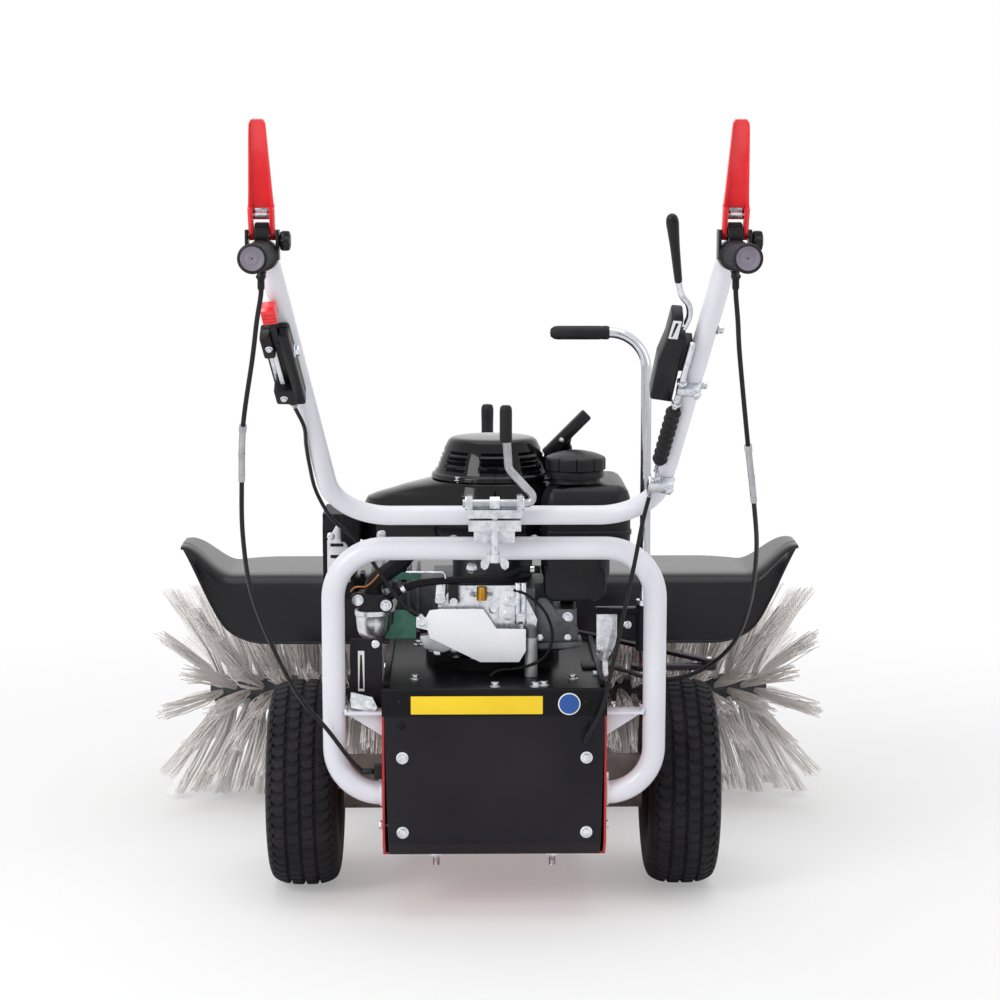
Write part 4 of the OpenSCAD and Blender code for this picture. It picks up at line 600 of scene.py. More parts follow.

# Engine block
# A die-cast aluminium crankcase with an upright shaft and a finned cylinder to the left, bolted to the deck.
# The muffler in heat-proof black sits on the exhaust port, with a bright slotted sheet behind it.

# The aged casting is dull grey, and its colour turns black below BLACK_LINE.
case_metal = finish("aluminium, die cast and aged", "#66686c", "#4b4d51", 26, 1.6, 0.07, (0.4, 0.56),
                    {"Metallic": 0.8})
tree = case_metal.node_tree
surface = tree.nodes["Principled BSDF"]
height_of = add(tree, "SeparateXYZ", {0: add(tree, "TexCoord").outputs["Object"]}).outputs[2]
# Below this height the casting's colour is set to black.
BLACK_LINE = 0.392
below_line = add(tree, "MapRange", {0: height_of, 1: BLACK_LINE, 2: BLACK_LINE + 0.003, 3: 1.0, 4: 0.0})
metal = surface.inputs["Base Color"].links[0].from_socket
tone = add(tree, "Mix", {0: below_line.outputs[0], 6: metal, 7: linear("#0f0f11")}, data_type="RGBA")
tree.links.new(tone.outputs[2], surface.inputs["Base Color"])
# Heat-proof paint is dull and slightly rough.
heat_black = finish("black heat-proof paint on sheet", "#161518", "#201e22", 50, 1.6, 0.05, (0.4, 0.55),
                    DULL)
dress("crankcase", case_metal, 2.5)
dress("muffler", heat_black, 4.0)
rim_turn = np.radians(200 + 17.5 * np.arange(9))
rim_spots = [(97 * np.cos(a), 10 + 97 * np.sin(a), 372) for a in rim_turn]
back_spots = [(70, -108, 410), (112, -108, 410), (112, -108, 440), (-58, -122, 396), (50, -122, 396)]
rib = [(54, 398), (128, 398), (128, 424), (96, 446), (82, 470), (68, 470), (54, 440)]
column = [(8.4, 0), (9.6, 1), (9.6, 60), (7, 61), (7, 70)]
case_parts = [
    *screws(zinc, rim_spots, UP, 10, 7, 8, 4),
    *screws(zinc, back_spots, -AHEAD, 10, 7, 8, 4),
    (standing(rib, -104, 6, 1.5), case_metal),
    (standing([(60, 384), (134, 396), (134, 404), (60, 402)], -60, 56, 2), case_metal),
    (lathe(column, (56, -133, DECK_TOP), UP, 32), cast_aluminium),
]
for x in (36, 45):
    case_parts.append((lathe([(4, 0), (4.6, 1), (4.6, 62), (4, 63)], (x, -130, 434), UP, 20), zinc))
piece("crankcase_fittings", "chassis", case_parts)
shield = filleted([(-212, 520), (-262, 520), (-262, 586), (-212, 586)], (2, 6, 18, 3), 7)
# Aluminised sheet is bright, with a fine cloudy spangle.
bright_sheet = finish("aluminised sheet, bright", "#e3e4e8", "#cfd1d6", 14, 1.6, 0.03, (0.24, 0.36),
                      {"Metallic": 0.9})
wrap = filleted([(-240, 570), (-232, 566), (-233, 550), (-224, 538), (-219, 520), (-219, 480), (-255, 480),
                 (-255, 545)], 2)
guard_parts = [(standing(shield, -19, 4, 1.2), heat_black), (standing(wrap, -20.5, 3.5, 0.8), bright_sheet)]
for low, high in ((500, 505), (518, 523), (536, 541)):
    guard_parts.append((block((-250, -25.2, low), (-230, -23.8, high), 0.5, 0.6), heat_black))
guard_parts += [
    (block((-233, -46, 546), (-203, -14, 590), 2, 3), satin_coat),
    *screws(zinc, [(x, -23.6, z) for x, z in ((-249, 552), (-238, 490))], -AHEAD, 8, 5, 6, 4),
]
piece("muffler_shield", "chassis", guard_parts)


# Fan housing and starter
# A deep-drawn steel shroud in gloss black, wide over the flywheel and drawn out left over the cylinder.
# The starter cover on top has louvres in its flank, and its rope ends in a moulded T grip.
def hull_ring(low, high, count=128):
    """The outline round two circles of given centre and radius: for each way, the farther circle's point."""
    turn = circle(count)
    way = np.stack([np.cos(turn), np.sin(turn)], 1)
    first, second = (np.array(c[:2]) + c[2] * way for c in (low, high))
    farther = ((first - second) * way).sum(1, keepdims=True) > 0
    return np.where(farther, first, second)


SHAFT_XY, LOBE_XY = np.array((0, 10)), np.array((-146, 14))
shroud_rows = [(545, 117.5, 61.5, 0), (547, 117.5, 61.5, 0), (550, 116, 60, 0), (572, 116, 60, 0),
               (582, 115.6, 58.6, 0), (592, 114, 55.6, 0), (602, 111, 51.5, 0), (610, 107.6, 47.5, 0),
               (616, 104.6, 45, 0.08), (622, 102, 48, 0.25), (628, 99, 58, 0.45), (634, 96.4, 76, 0.75),
               (638, 94.4, 90, 0.95), (640, 92, 92, 1), (640.4, 70, 70, 1), (637, 70, 70, 1),
               (636, 89, 89, 1), (628, 95.6, 55, 0.45), (610, 104.4, 44.4, 0), (592, 110.8, 52.4, 0),
               (572, 112.8, 56.8, 0), (545, 112.8, 56.8, 0)]
shroud_rings = []
for z, main, lobe, slide in shroud_rows:
    centre = LOBE_XY + slide * (SHAFT_XY - LOBE_XY)
    flat = hull_ring((*SHAFT_XY, main), (*centre, lobe))
    shroud_rings.append(np.column_stack([flat, np.full(len(flat), z)]))
shroud_bolts = screws(zinc, [(-60, -92, 556), (62, -92, 556), (-170, -42, 556)], -AHEAD, 10, 6, 8, 6)
piece("fan_shroud", "chassis", [(shell(shroud_rings, True), gloss_coat), *shroud_bolts],
      ["blower_housing"], 30)

dome_line = flowing([(88, 0), (94, 0.3), (94.2, 3), (93, 7), (89.5, 9.5), (87.5, 14), (78.6, 36), (71, 52),
                     (67.4, 58), (62, 61.4), (52, 62.8), (30, 63.6), (12, 64), (1, 64)], 7)
LOUVRE_DEEP, DOME_Z = 4.5, 640.4
turn = circle(360)[None]
level = dome_line[:, 1:]
near = np.abs((turn * 8 / (2 * np.pi) + 0.5) % 1 - 0.5) * 45
band = np.abs((level - 17) / 8 - np.round((level - 17) / 8)) * 8
louvre = np.clip((15 - near) / 1.2, 0, 1) * np.clip((2.6 - band) / 0.9, 0, 1) * (level > 13) * (level < 46)
dome_r = dome_line[:, :1] - LOUVRE_DEEP * louvre
dome = np.stack([dome_r * np.cos(turn), 10 + dome_r * np.sin(turn),
                 DOME_Z + np.broadcast_to(level, dome_r.shape)], -1)
pull = np.array((0, -0.6, 0.8))
GRIP_AT = np.array((114, -2, 707))
boss = [(11, 0), (11.5, 2), (9.4, 28), (8.4, 30), (3.4, 30), (3.4, 24)]
rim_spots = [(90 * np.cos(a), 10 + 90 * np.sin(a), 643) for a in np.arange(3) * 2.1 - 2.2]
dome_parts = [
    (shell(dome), gloss_coat),
    (lathe(boss, GRIP_AT - 54.4 * pull, pull, 28), gloss_coat),
    (block((80, 8, 646), (122, 28, 682), 3, 5), gloss_coat),
    *screws(zinc, rim_spots, UP, 8, 6, 6),
]
piece("starter_dome", "chassis", dome_parts, ["recoil_cover"], 40)

# Moulded nylon takes the eroded texture of its mould, which gives a soft sheen.
nylon = finish("black nylon, moulded", "#131215", "#1a181c", 50, 1.5, 0.045, (0.28, 0.4), SATIN)
bar = np.array((np.sqrt(0.5), 0, np.sqrt(0.5)))
cross = np.array((-np.sqrt(0.5), 0, np.sqrt(0.5)))
handle = filleted([(-45, -9.2), (45, -9.2), (45, 9.2), (-45, 9.2)], 3.4, 6)
handle = prism(handle, GRIP_AT + (0, 9, 0), bar, cross, 18, 3)
stem = lathe([(6.2, -24), (7, -22), (7.4, -14), (8.6, -6), (9, 0)], GRIP_AT, pull, 24)
rivet = lathe([(3, 4), (4.2, 9.6), (3.4, 11), (1, 11.4)], GRIP_AT - np.array((8, 0, 8)), -AHEAD, 20)
piece("starter_handle", "starter_grip", [(handle, nylon), (stem, nylon), (rivet, zinc)],
      ["starter_grip"])
# Braided nylon is dull, and its strands show as a relief 1.6 mm wide.
cord_fibre = finish("braided nylon cord", "#2a2a2d", "#17171a", 3, 1.6, 0.2, (0.6, 0.75))
cord_line = GRIP_AT + np.outer(np.linspace(-52, -20, 60), pull)
rope = piece("starter_cord", None, [(tube(cord_line, 2.4, 12), cord_fibre)])

# Fuel tank
# Blow-moulded black nylon, wrapped round the shroud and rounded below. A fluted cap screws on a short neck.
TANK_X0, TANK_X1, TANK_Y0, TANK_Y1 = 72, 207, -124, 92
bite = np.radians(np.linspace(44.5, -52, 30))
hollow = np.column_stack([117.5 * np.cos(bite), 10 + 117.5 * np.sin(bite)])


def tank_plan(right):
    """The tank from above: a rounded rectangle up to that right edge, less the circle of the shroud."""
    back = [(TANK_X0, TANK_Y0), (right, TANK_Y0), (right, TANK_Y1), (right - 1, TANK_Y1)]
    back = filleted(back, (14, 30, 0.2, 0.2), 9)[:18]
    front = [(150, -20), (right, -20), (right, TANK_Y1), (90, TANK_Y1)]
    front = filleted(front, 30 if right > 190 else 14, 9)[18:27]
    return np.vstack([back, front, [(88, TANK_Y1)], hollow])


upper_rows = [(540, 16), (541.5, 10), (545, 5), (551, 1.6), (557, 0.3), (565, 0), (566.5, -1.8),
              (571.5, -1.8), (573, 0), (612, 0), (622, 1), (631, 4), (637, 9), (640, 15), (641, 22)]
lower_rows = [(492, 13), (493.5, 8), (498, 3.6), (504, 0.8), (510, 0), (556, 0), (560, 4)]
tank_rings = [[np.column_stack([inset(tank_plan(right), d), np.full(len(tank_plan(right)), z)])
               for z, d in rows] for right, rows in ((TANK_X1, upper_rows), (176, lower_rows))]
belly = filleted([(76, 466), (170, 466), (170, 520), (76, 520)], (18, 24, 11, 11), 9)
belly = standing(belly, -78, 45, 7)
CAP_XY = (125, -62)
neck_line = [(44, -30), (43, -8), (40, -3), (38, 2), (38, 7.6), (34, 7.6), (34, -6)]
neck = lathe(neck_line, (*CAP_XY, 640), UP, 56)
foot = block((103, -62, 452.4), (125, -34, 498), 1.5, 4)
tank_parts = [(part, nylon) for part in (*map(shell, tank_rings), neck, foot, belly)]
piece("fuel_tank_body", "chassis", tank_parts, ["fuel_tank"], 32)
cap_line = [(34, -13), (34, 0.6), (42.6, 0.6), (43.6, 2), (43.6, 9), (42.4, 10.4), (42.6, 11.6), (45.8, 13),
            (46, 15), (46, 27), (45.2, 30), (42, 32.4), (30, 37), (14, 40.4), (1, 42)]
cap_line = flowing(cap_line, 5)
NOTCH_DEEP, CAP_Z = 2.2, 648
turn = circle(240)[None]
notch = np.clip(1.15 - np.abs(((turn * 10 / (2 * np.pi)) % 1) - 0.5) * 22, 0, 1)
on_skirt = ((cap_line[:, 1:] > 12) & (cap_line[:, 1:] < 31)).astype(float)
cap_r = cap_line[:, :1] - NOTCH_DEEP * notch * on_skirt
cap = np.stack([CAP_XY[0] + cap_r * np.cos(turn), CAP_XY[1] + cap_r * np.sin(turn),
                CAP_Z + np.broadcast_to(cap_line[:, 1:], cap_r.shape)], -1)
piece("fuel_cap_body", "fuel_cap", [(shell(cap), nylon)], ["fuel_cap"], 45)

# Carburettor and governor
# A die-cast carburettor with a pressed bowl hangs behind the cylinder, next to a green insulating plate.
# Linkages and a return lever sit on a pressed steel plate, behind a pale enamelled cover.

# Enamelled sheet is smooth and pale, glass-fibre board is mottled by its weave, turned brass is warm
# and bright, and nitrile hose is dull.
pale_enamel = finish("pale grey enamel on sheet", "#eeeff3", "#e7e8ed", 80, 2, 0.015, (0.22, 0.32),
                     {"Coat Weight": 0.2})
green_board = finish("green glass-fibre board", "#4b8a75", "#3e7663", 12, 1.2, 0.05, (0.4, 0.55))
brass = finish("brass, turned", "#c9a14a", "#b08836", 8, 1.2, 0.02, (0.22, 0.34), METAL)
fuel_hose = finish("nitrile fuel hose", "#121113", "#1a181b", 20, 1.5, 0.05, (0.42, 0.56), DULL)
bowl = lathe([(2, 400), (6.5, 400), (6.5, 407), (8, 407.5), (8, 411), (14, 412.4), (19, 417), (22, 424),
              (23.6, 436), (24.4, 446), (26, 448), (26, 455), (22, 456)], (-183, -120, 0), UP, 48)
elbow = flowing([(-181, -124, 478), (-179, -126, 497), (-160, -126, 512), (-138, -124, 528),
                 (-128, -96, 538)], 8)
cuff = 12.6 + 0.9 * (np.abs(np.linspace(0, 1, len(elbow)) - 0.5) > 0.4)
carb = [
    (bowl, bright_sheet),
    (block((-204, -142, 455), (-162, -100, 482), 3, 6), nylon),
    (lathe([(13, 0), (14.4, 1), (14.4, 50), (13, 53)], (-160, -102, 462), AHEAD, 32), cast_aluminium),
    (block((-178, -104, 448), (-148, -98, 478), 1.5, 2.6), cast_aluminium),
    (tube(elbow, cuff, 28), fuel_hose),
]
for x, z in ((-203, 474), (-161, 466)):
    carb += [
        (lathe([(11, 4), (11, -4), (9, -5)], (x, -142, z), AHEAD, 28), nylon),
        *screws(zinc, [(x, -147, z)], -AHEAD, 11, 7, 8.5, 8),
    ]
board = filleted([(-150, 450), (-117, 450), (-117, 406), (-166, 406), (-152, 430)], 3)
upper_board = filleted([(-166, 496), (-112, 496), (-112, 506), (-150, 508)], 2)
hose = flowing([(71.2, -102, 512), (42, -103, 511.5), (8, -124, 504), (-70, -134, 501), (-116, -136, 496),
                (-150, -135, 480), (-161.5, -131, 470)], 8)
carb += [
    (standing(board, -95.5, 2.5, 0.4), green_board),
    (standing(upper_board, -92, 2.5, 0.4), green_board),
    (tube(hose, 5.6, 20), fuel_hose),
]
for at in (4, 36):
    clip = lathe([(5.4, -3), (6.6, -3), (6.6, 3), (5.4, 3)], hose[at], hose[at + 1] - hose[at], 24, True)
    carb.append((clip, zinc))
# Lacquered copper has a warm, slightly dulled shine.
copper = finish("copper wire, lacquered", "#a8704a", "#8f5c3b", 10, 1.2, 0.02, (0.3, 0.4), METAL)
wire = flowing([(-214, -128, 484), (-206, -138, 492), (-190, -142, 494), (-176, -140, 506),
                (-164, -126, 520)], 6)
carb.append((tube(wire, 1.6, 10), copper))
piece("carburettor_group", "chassis", carb, ["carburettor"])

plate = filleted([(-78, 400), (58, 400), (66, 440), (40, 492), (-60, 492), (-84, 462)], 5)
linkage = [(standing(plate, -122.3, 3.7, 0.6), zinc)]
for x, z in ((-60, 470), (30, 470), (-50, 440), (40, 446)):
    linkage.append((lathe([(6, 0), (6, -17.5)], (x, -126, z), AHEAD, 24), zinc))
for x, z, y in ((0, 457, -127), (21, 469, -130), (21, 448, -130), (-80, 472, -134), (-33, 516, -112)):
    linkage += [
        (lathe([(8, 4), (8, 0)], (x, y + 1.4, z), AHEAD, 24), zinc),
        *screws(zinc, [(x, y, z)], -AHEAD, 10, 6, 7.6, 10),
    ]
tab = filleted([(8, 438), (32, 438), (32, 484), (14, 484), (8, 476)], 2)
arm_shape = filleted([(-88, 466), (-74, 466), (-72, 494), (-76, 500), (-82, 500), (-86, 494)], 3)
horn = filleted([(-44, 464), (-22, 464), (-20, 478), (-30, 476), (-34, 488), (-44, 486)], 2)
gear = np.column_stack([np.tile((8, 7.2), 12), np.linspace(0, 20, 24)])
hook = flowing([(-80, -138, 514), (-74, -137, 512), (-72, -136, 500), (-76, -134, 492)], 5)
spring = np.linspace(0, 1, 160)
coil = np.column_stack([-36 + 34 * spring, -138 + 2.6 * np.cos(spring * 88),
                        481 + 2.6 * np.sin(spring * 88)])
loop_line = flowing([(30, -132, 486), (52, -136, 478), (78, -140, 452), (88, -142, 416), (74, -144, 384),
                     (40, -146, 370), (8, -150, 367), (-6, -158, 360)], 8)
ear = filleted([(-112, 418), (-62, 424), (-60, 398), (-76, 392), (-104, 398)], 4)
linkage += [
    (standing(tab, -127, 3, 0.5), pale_enamel),
    (standing(arm_shape, -130, 3, 0.5), zinc),
    (block((-68, -138, 466), (-53, -124, 496), 1.5, 2), nylon),
    (standing(horn, -134, 2.5, 0.4), pale_enamel),
    (lathe(np.vstack([[(2, 0)], gear, [(2, 20)]]), (-18, -138, 472), UP, 24), brass),
    (tube([(-131, -140, 515), (-105, -140, 514.6), (-80, -138, 514)], 1.8, 10), zinc),
    (tube(hook, 1.8, 10), zinc),
    (tube(coil, 0.6, 6), shaft_steel),
    (tube(loop_line, 2.2, 12), fuel_hose),
    (standing(ear, -120, 20, 2), cast_aluminium),
    *screws(zinc, [(-84, -130, 395)], -UP, 11, 8, 8, 6),
]
piece("governor_plate", "chassis", linkage, ["control_plate"])
cover = [(-116, 450), (-108, 453), (-102, 446), (-96, 458), (-80, 460), (-16, 460), (4, 430), (48, 429),
         (48, 396), (38, 379), (-20, 379), (-96, 416), (-99, 428), (-116, 432)]
cover = [
    (standing(filleted(cover, 1.6, 4), -143.8, 3.2, 0.7), pale_enamel),
    *screws(zinc, [(-108, -147, 441)], -AHEAD, 10, 6, 7, 12),
]
piece("governor_cover", "chassis", cover, ["control_cover"])

# Handlebar clamp
# Two zinc-plated blocks hold the handlebar on the frame tube. A bolt with a wing nut draws them together,
# and a cranked lever turns the cam on top.
for node, edge in (("clamp_saddle", 1.6), ("clamp_cap", 1.4), ("wing_nut", 1.2)):
    dress(node, zinc, edge)
CAM_Y, CAM_Z = -250, 633
crank_path = bent([(-46, CAM_Y, CAM_Z), (66, CAM_Y, CAM_Z), (20, CAM_Y, CAM_Z + 50),
                   (16, CAM_Y, CAM_Z + 140)], (9, 14), 12)
sleeve = [(5.6, -52), (8, -51.4), (9, -48), (9, -6), (8.2, -1), (5.5, 1.8), (1, 2.2)]
collar = [(6, 0), (10.5, 0), (10.5, 2), (6, 2)]
crank = [
    (tube(np.vstack([crank_path[:-1], (16.4, CAM_Y, 735)]), 6, 28), shaft_steel),
    (lathe(sleeve, (16, CAM_Y, CAM_Z + 140), UP, 36), grip_rubber),
    *[(lathe(collar, (x, CAM_Y, CAM_Z), RIGHT, 30, True), zinc) for x in (-42.4, 40.4)],
]
piece("clamp_handle", "clamp_crank", crank, ["clamp_crank"])

# Handlebar
# One bent tube in silver powder coat, with moulded rubber grips pushed over both ends.
GRIP_HALF, BAR_BACK, GRIP_Z, ELBOW_Y, KNEE_X, BAR_Y, BAR_LOW = 296, 785, 1000, -575, 231, -215, 611
bar_points = [(GRIP_HALF, -BAR_BACK, GRIP_Z), (GRIP_HALF, ELBOW_Y, GRIP_Z), (KNEE_X, BAR_Y, BAR_LOW),
              (-KNEE_X, BAR_Y, BAR_LOW), (-GRIP_HALF, ELBOW_Y, GRIP_Z), (-GRIP_HALF, -BAR_BACK, GRIP_Z)]
bar = tube(bent(bar_points, (80, 90, 90, 80), 20), 14, 44)
piece("handlebar_tube", "handlebar", [(bar, silver_coat)], ["handlebar"])
ribs = np.arange(10, 112, 1.0)
ribbed = np.column_stack([17 - 0.75 * (np.cos(ribs * 2 * np.pi / 6) > 0.45), ribs])
grip_rim = [(14.9, 2.4), (15, 0.6), (16.6, 0.8), (18.2, 2.4), (18.5, 4.4), (18, 6), (16.8, 6.8)]
grip_flange = [(17, 115.6), (18.4, 117), (19, 118.6), (19, 121), (18, 122), (14.1, 122)]
grip_line = np.vstack([grip_rim, ribbed, grip_flange])
end_line = [(0.9, 2), (1.6, 1.2), (4, 1.2), (4.4, 0.9), (7, 0.9), (7.4, 1.2), (9.8, 1.2), (10.2, 0.9),
            (12.4, 0.9), (12.9, 0.6), (14.2, 0.6), (14.7, 1), (14.8, 2)]
# The end faces of the grips are pale grey.
pale_rubber = finish("rubber, pale grey", "#827d89", "#736e7a", 30, 1.4, 0.04, (0.34, 0.46), SATIN)
grips = []
for s in (-1, 1):
    grip_end = (s * GRIP_HALF, -BAR_BACK - 3, GRIP_Z)
    grips += [
        (lathe(grip_line, grip_end, AHEAD, 48), grip_rubber),
        (lathe(end_line, grip_end, AHEAD, 48), pale_rubber),
    ]
piece("rubber_grips", "handlebar", grips, ["hand_grips"])

# Lever brackets and levers
# A black bracket is clamped ahead of each grip. The red lever is a tapered channel of nylon with two legs
# on its cross pin, and the lobed knob on the pin locks it.
LEVER_Y, LEVER_Z = -640, 1024
ring = [(14.1, -16), (19, -16), (20, -14.6), (20, 20.6), (19, 22), (14.1, 22)]
turn = circle(96)[None]
knob_line = np.array([(4, 21.3), (7, 21.5), (11, 23), (12.4, 25), (12.6, 31), (11.6, 34), (8, 35.4),
                      (1, 35.8)])
lobes = knob_line[:, :1] * (1 + 0.1 * np.cos(6 * turn) * (knob_line[:, :1] > 8))
knob = np.stack([np.broadcast_to(knob_line[:, 1:], lobes.shape), lobes * np.cos(turn),
                 lobes * np.sin(turn) - 6], -1)
mounts = []
for s in (-1, 1):
    hub = np.array((s * GRIP_HALF, LEVER_Y, LEVER_Z))
    barrel = np.array((s * (GRIP_HALF + 3), LEVER_Y + 6, GRIP_Z - 32))
    mounts += [
        (lathe(ring, (s * GRIP_HALF, LEVER_Y, GRIP_Z), AHEAD, 44, True), nylon),
        (block(hub + (-9, -12, -18), hub + (9, 20, 14), 1.6, 4), nylon),
        (lathe([(16, -9), (17.4, -7.6), (17.4, 7.6), (16, 9)], hub, RIGHT, 40), nylon),
        (lathe([(2.4, -18), (2.9, -17.6), (2.9, 17.6), (2.4, 18)], hub, RIGHT, 20), zinc),
    ]
    for cheek in (-1, 1):
        low = np.array((s * GRIP_HALF + cheek * 19.2 - 2, LEVER_Y - 12, GRIP_Z - 6))
        mounts.append((block(low, low + (4, 26, 38), 0.8, 1.4), nylon))
    mounts += [
        (lathe([(4, 0), (5, 1), (5, 14)], barrel, UP, 24), nylon),
        (prism(hexagon(12), barrel + (0, 0, 3), RIGHT, AHEAD, 4, 0.6), nylon),
        (shell(knob + hub), nylon),
        *screws(nylon, [(s * GRIP_HALF, LEVER_Y - 9, GRIP_Z - 20)], -UP, 8, 6, 6, 4),
    ]
piece("lever_mounts", "handlebar", mounts, ["lever_brackets"])

# Red nylon is smooth and glossy, and its colour is even.
red_plastic = finish("red nylon, moulded", "#ee2f37", "#e3262e", 60, 1.6, 0.02, (0.18, 0.28),
                     {"Coat Weight": 0.3})
z = np.concatenate([np.linspace(20, 60, 6), np.linspace(64, 140, 18), [145, 149, 152, 153.6]])
half = np.interp(z, (20, 38, 60, 140, 149, 154), (16.5, 16.2, 14.8, 10.9, 10.2, 7.2))
wing = np.interp(z, (20, 34, 60, 130, 148, 154), (1, 0, 0.4, 2, 4, 5.5))
section = filleted([(-1, 1), (1, 1), (1, 0), (0.86, 0), (0.76, 0.56), (-0.76, 0.56), (-0.86, 0), (-1, 0)],
                   0.045, 5)[None]
deep = wing[:, None] + (9.8 - wing[:, None]) * section[..., 1]
channel = np.stack([half[:, None] * section[..., 0], deep, np.broadcast_to(z[:, None], deep.shape)], -1)
leg_shape = filleted([(-3.5, -5), (3.5, -5), (9.6, 20), (9.6, 40), (-6.6, 40), (-6.6, 6)],
                     (3, 3, 4, 0.4, 0.4, 4), 6)
lean = np.radians(25)
tilt = np.array([(1, 0, 0), (0, np.cos(lean), np.sin(lean)), (0, -np.sin(lean), np.cos(lean))])
lever = [
    (shell(channel), red_plastic),
    *[(prism(leg_shape, (x, 0, 0), AHEAD, UP, 6.4, 1.0), red_plastic) for x in (-16.5, 10.1)],
    (lathe([(3, -8), (4, -7), (4, 7), (3, 8)], (0, -1.6, 30), RIGHT, 24), zinc),
    (lathe([(2.2, -12), (2.2, 12)], (0, -1.6, 30), RIGHT, 16), shaft_steel),
    (block((-9, 3.4, 24), (9, 4.6, 37), 0.4, 1.5), zinc),
]
for s, side in ((-1, "left"), (1, "right")):
    hub = (s * GRIP_HALF, LEVER_Y, LEVER_Z)
    placed = [((spots @ tilt + hub, faces), look) for (spots, faces), look in lever]
    piece("red_lever_" + side, "lever_" + side, placed, ["lever_" + side])

# Throttle
# A moulded housing under the left arm of the handlebar, with a red thumb lever that runs in a slot.
KNEE = np.array((KNEE_X, BAR_Y, BAR_LOW), float)
ELBOW = np.array((GRIP_HALF, ELBOW_Y, GRIP_Z), float)
ARM_Z = (ELBOW - KNEE) / np.linalg.norm(ELBOW - KNEE)
ARM_X = np.cross((0, ARM_Z[2], -ARM_Z[1]), ARM_Z)
ARM_X = ARM_X / np.linalg.norm(ARM_X)
ARM_AXES = np.array((ARM_X, np.cross(ARM_Z, ARM_X), ARM_Z))


def on_arm(parts, side, lift=0):
    """Parts drawn along a handlebar arm (x outward, y ahead, z up the arm from the knee), put in place."""
    return [((((spots + lift * UP) @ ARM_AXES + KNEE) * (side, 1, 1), faces), look)
            for (spots, faces), look in parts]


THROTTLE_LIFT = 30
case = [
    (standing(filleted([(-9, 258), (30, 262), (30, 392), (-9, 392)], 6), -14.3, 9, 1.5), nylon),
    (standing(filleted([(-9, 258), (4.7, 258), (4.7, 392), (-9, 392)], 3), -23, 18, 2.5), nylon),
    (standing(filleted([(2, 258), (30, 262), (30, 290), (2, 286)], 4), -23, 18, 2.5), nylon),
    (standing(filleted([(14.4, 352), (30, 352), (30, 392), (14.4, 392)], 4), -23, 18, 2.5), nylon),
    (standing([(15, 284), (21, 284), (21, 354), (15, 354)], -24, 4, 0.8), pale_enamel),
    (standing([(22, 284), (27, 284), (27, 354), (22, 354)], -22, 3, 0.6), zinc),
    *screws(zinc, [(-9, -28, 350)], -RIGHT, 12, 7, 9, 4),
    *screws(zinc, [(x, -41, z) for x, z in ((20, 372), (18, 274))], -AHEAD, 7, 4, 5, 4),
    (lathe([(6, 0), (7.4, 0), (7.4, 10), (6, 11)], (10, -28, 252), UP, 24), nylon),
]
piece("throttle_case", "handlebar", on_arm(case, -1, THROTTLE_LIFT), ["throttle_housing"])
knob_side = filleted([(-41, 416), (-39, 438), (-33, 441), (-19, 438), (-17, 416)], 3)
thumb = [(prism(knob_side, (0, 0, 0), AHEAD, UP, 20, 2.5), red_plastic)]
for k in range(4):
    ridge = [(x, -40.6 + 0.5 * k, 419 + 5.5 * k) for x in (1.5, 10, 18.5)]
    thumb.append((tube(ridge, 1.7, 12), red_plastic))
thumb += [
    (block((5.5, -34, 372), (13.5, -22, 418), 1), nylon),
    (lathe([(7, 0), (8, 1), (8, 7.4), (7, 8.4)], (5.3, -28, 372), RIGHT, 28), nylon),
    (lathe([(2.6, -5), (3, -4.6), (3, 22.6), (2.6, 23)], (0, -28, 372), RIGHT, 20), zinc),
]
piece("throttle_thumb", "throttle_lever", on_arm(thumb, -1, THROTTLE_LIFT),
      ["throttle_lever"])

# Gear shift
# A moulded console on the right arm with a white marker strip, and a bent zinc lever with a slim black knob.
# Below them the shift rod runs between two clamped brackets, in a ribbed rubber boot.
case_line = [(-23, 261), (-54, 264), (-57, 340), (-53, 378), (-53, 423), (-37, 423), (-37, 387), (-26, 384),
             (-26, 350)]
strip = filleted([(-51.5, 386), (-39, 386), (-39.5, 420), (-51, 420)], 1)
console = [
    (standing(filleted(case_line, (3, 4, 3, 3, 4, 4, 2, 3, 3)), 12, 28, 3), nylon),
    (block((-28, -12, 320), (-14.4, 12, 372), 1.5, 2), nylon),
    (standing(strip, -15.6, 1, 0.2), pale_enamel),
    (standing([(-48.5, 390), (-46.5, 390), (-43, 416), (-47, 416)], -16.4, 0.6, 0.1), nylon),
    *screws(zinc, [(13.6, -2, z) for z in (398, 288)], RIGHT, 11, 8, 8, 6),
]
piece("shift_case", "handlebar", on_arm(console, 1), ["shift_console"])
shank = flowing([(-31, -2, 394), (-28, -1, 416), (-33, 0, 436), (-44, 2.7, 449), (-52, 8, 468),
                 (-53.4, 9.2, 474)], 8)
knob_line = flowing([(3.6, 0), (5, 0.6), (5.4, 12), (5.9, 32), (6.6, 56), (7.8, 78), (8.4, 89), (7.4, 96),
                     (4.6, 100.4), (0.6, 102)], 5)
KNOB_AT, KNOB_WAY = (-52.2, 8.1, 468.6), (-0.2554, 0.2267, 0.94)
stick = [
    (tube(shank, 4.3, 20), zinc),
    (lathe([(3.4, -17), (4, -16), (4, 2.6), (3.4, 3)], (-31, -2, 400), RIGHT, 24), zinc),
    (lathe(knob_line, KNOB_AT, KNOB_WAY, 40), nylon),
]
piece("shift_stick", "shift_lever", on_arm(stick, 1), ["shift_lever"])
fold = np.linspace(0, 8, 129)
boot_line = np.column_stack([9.4 - 1.6 * np.cos(2 * np.pi * fold), 141 + 14 * fold])
SHIFT_XY = (-18, -20)
boot = [
    (lathe(np.vstack([[(4.2, 141)], boot_line, [(4.2, 253)]]), (*SHIFT_XY, 0), UP, 36), grip_rubber),
    (lathe([(3.4, 91), (4, 92), (4, 383), (3.4, 384)], (*SHIFT_XY, 0), UP, 20), zinc),
]
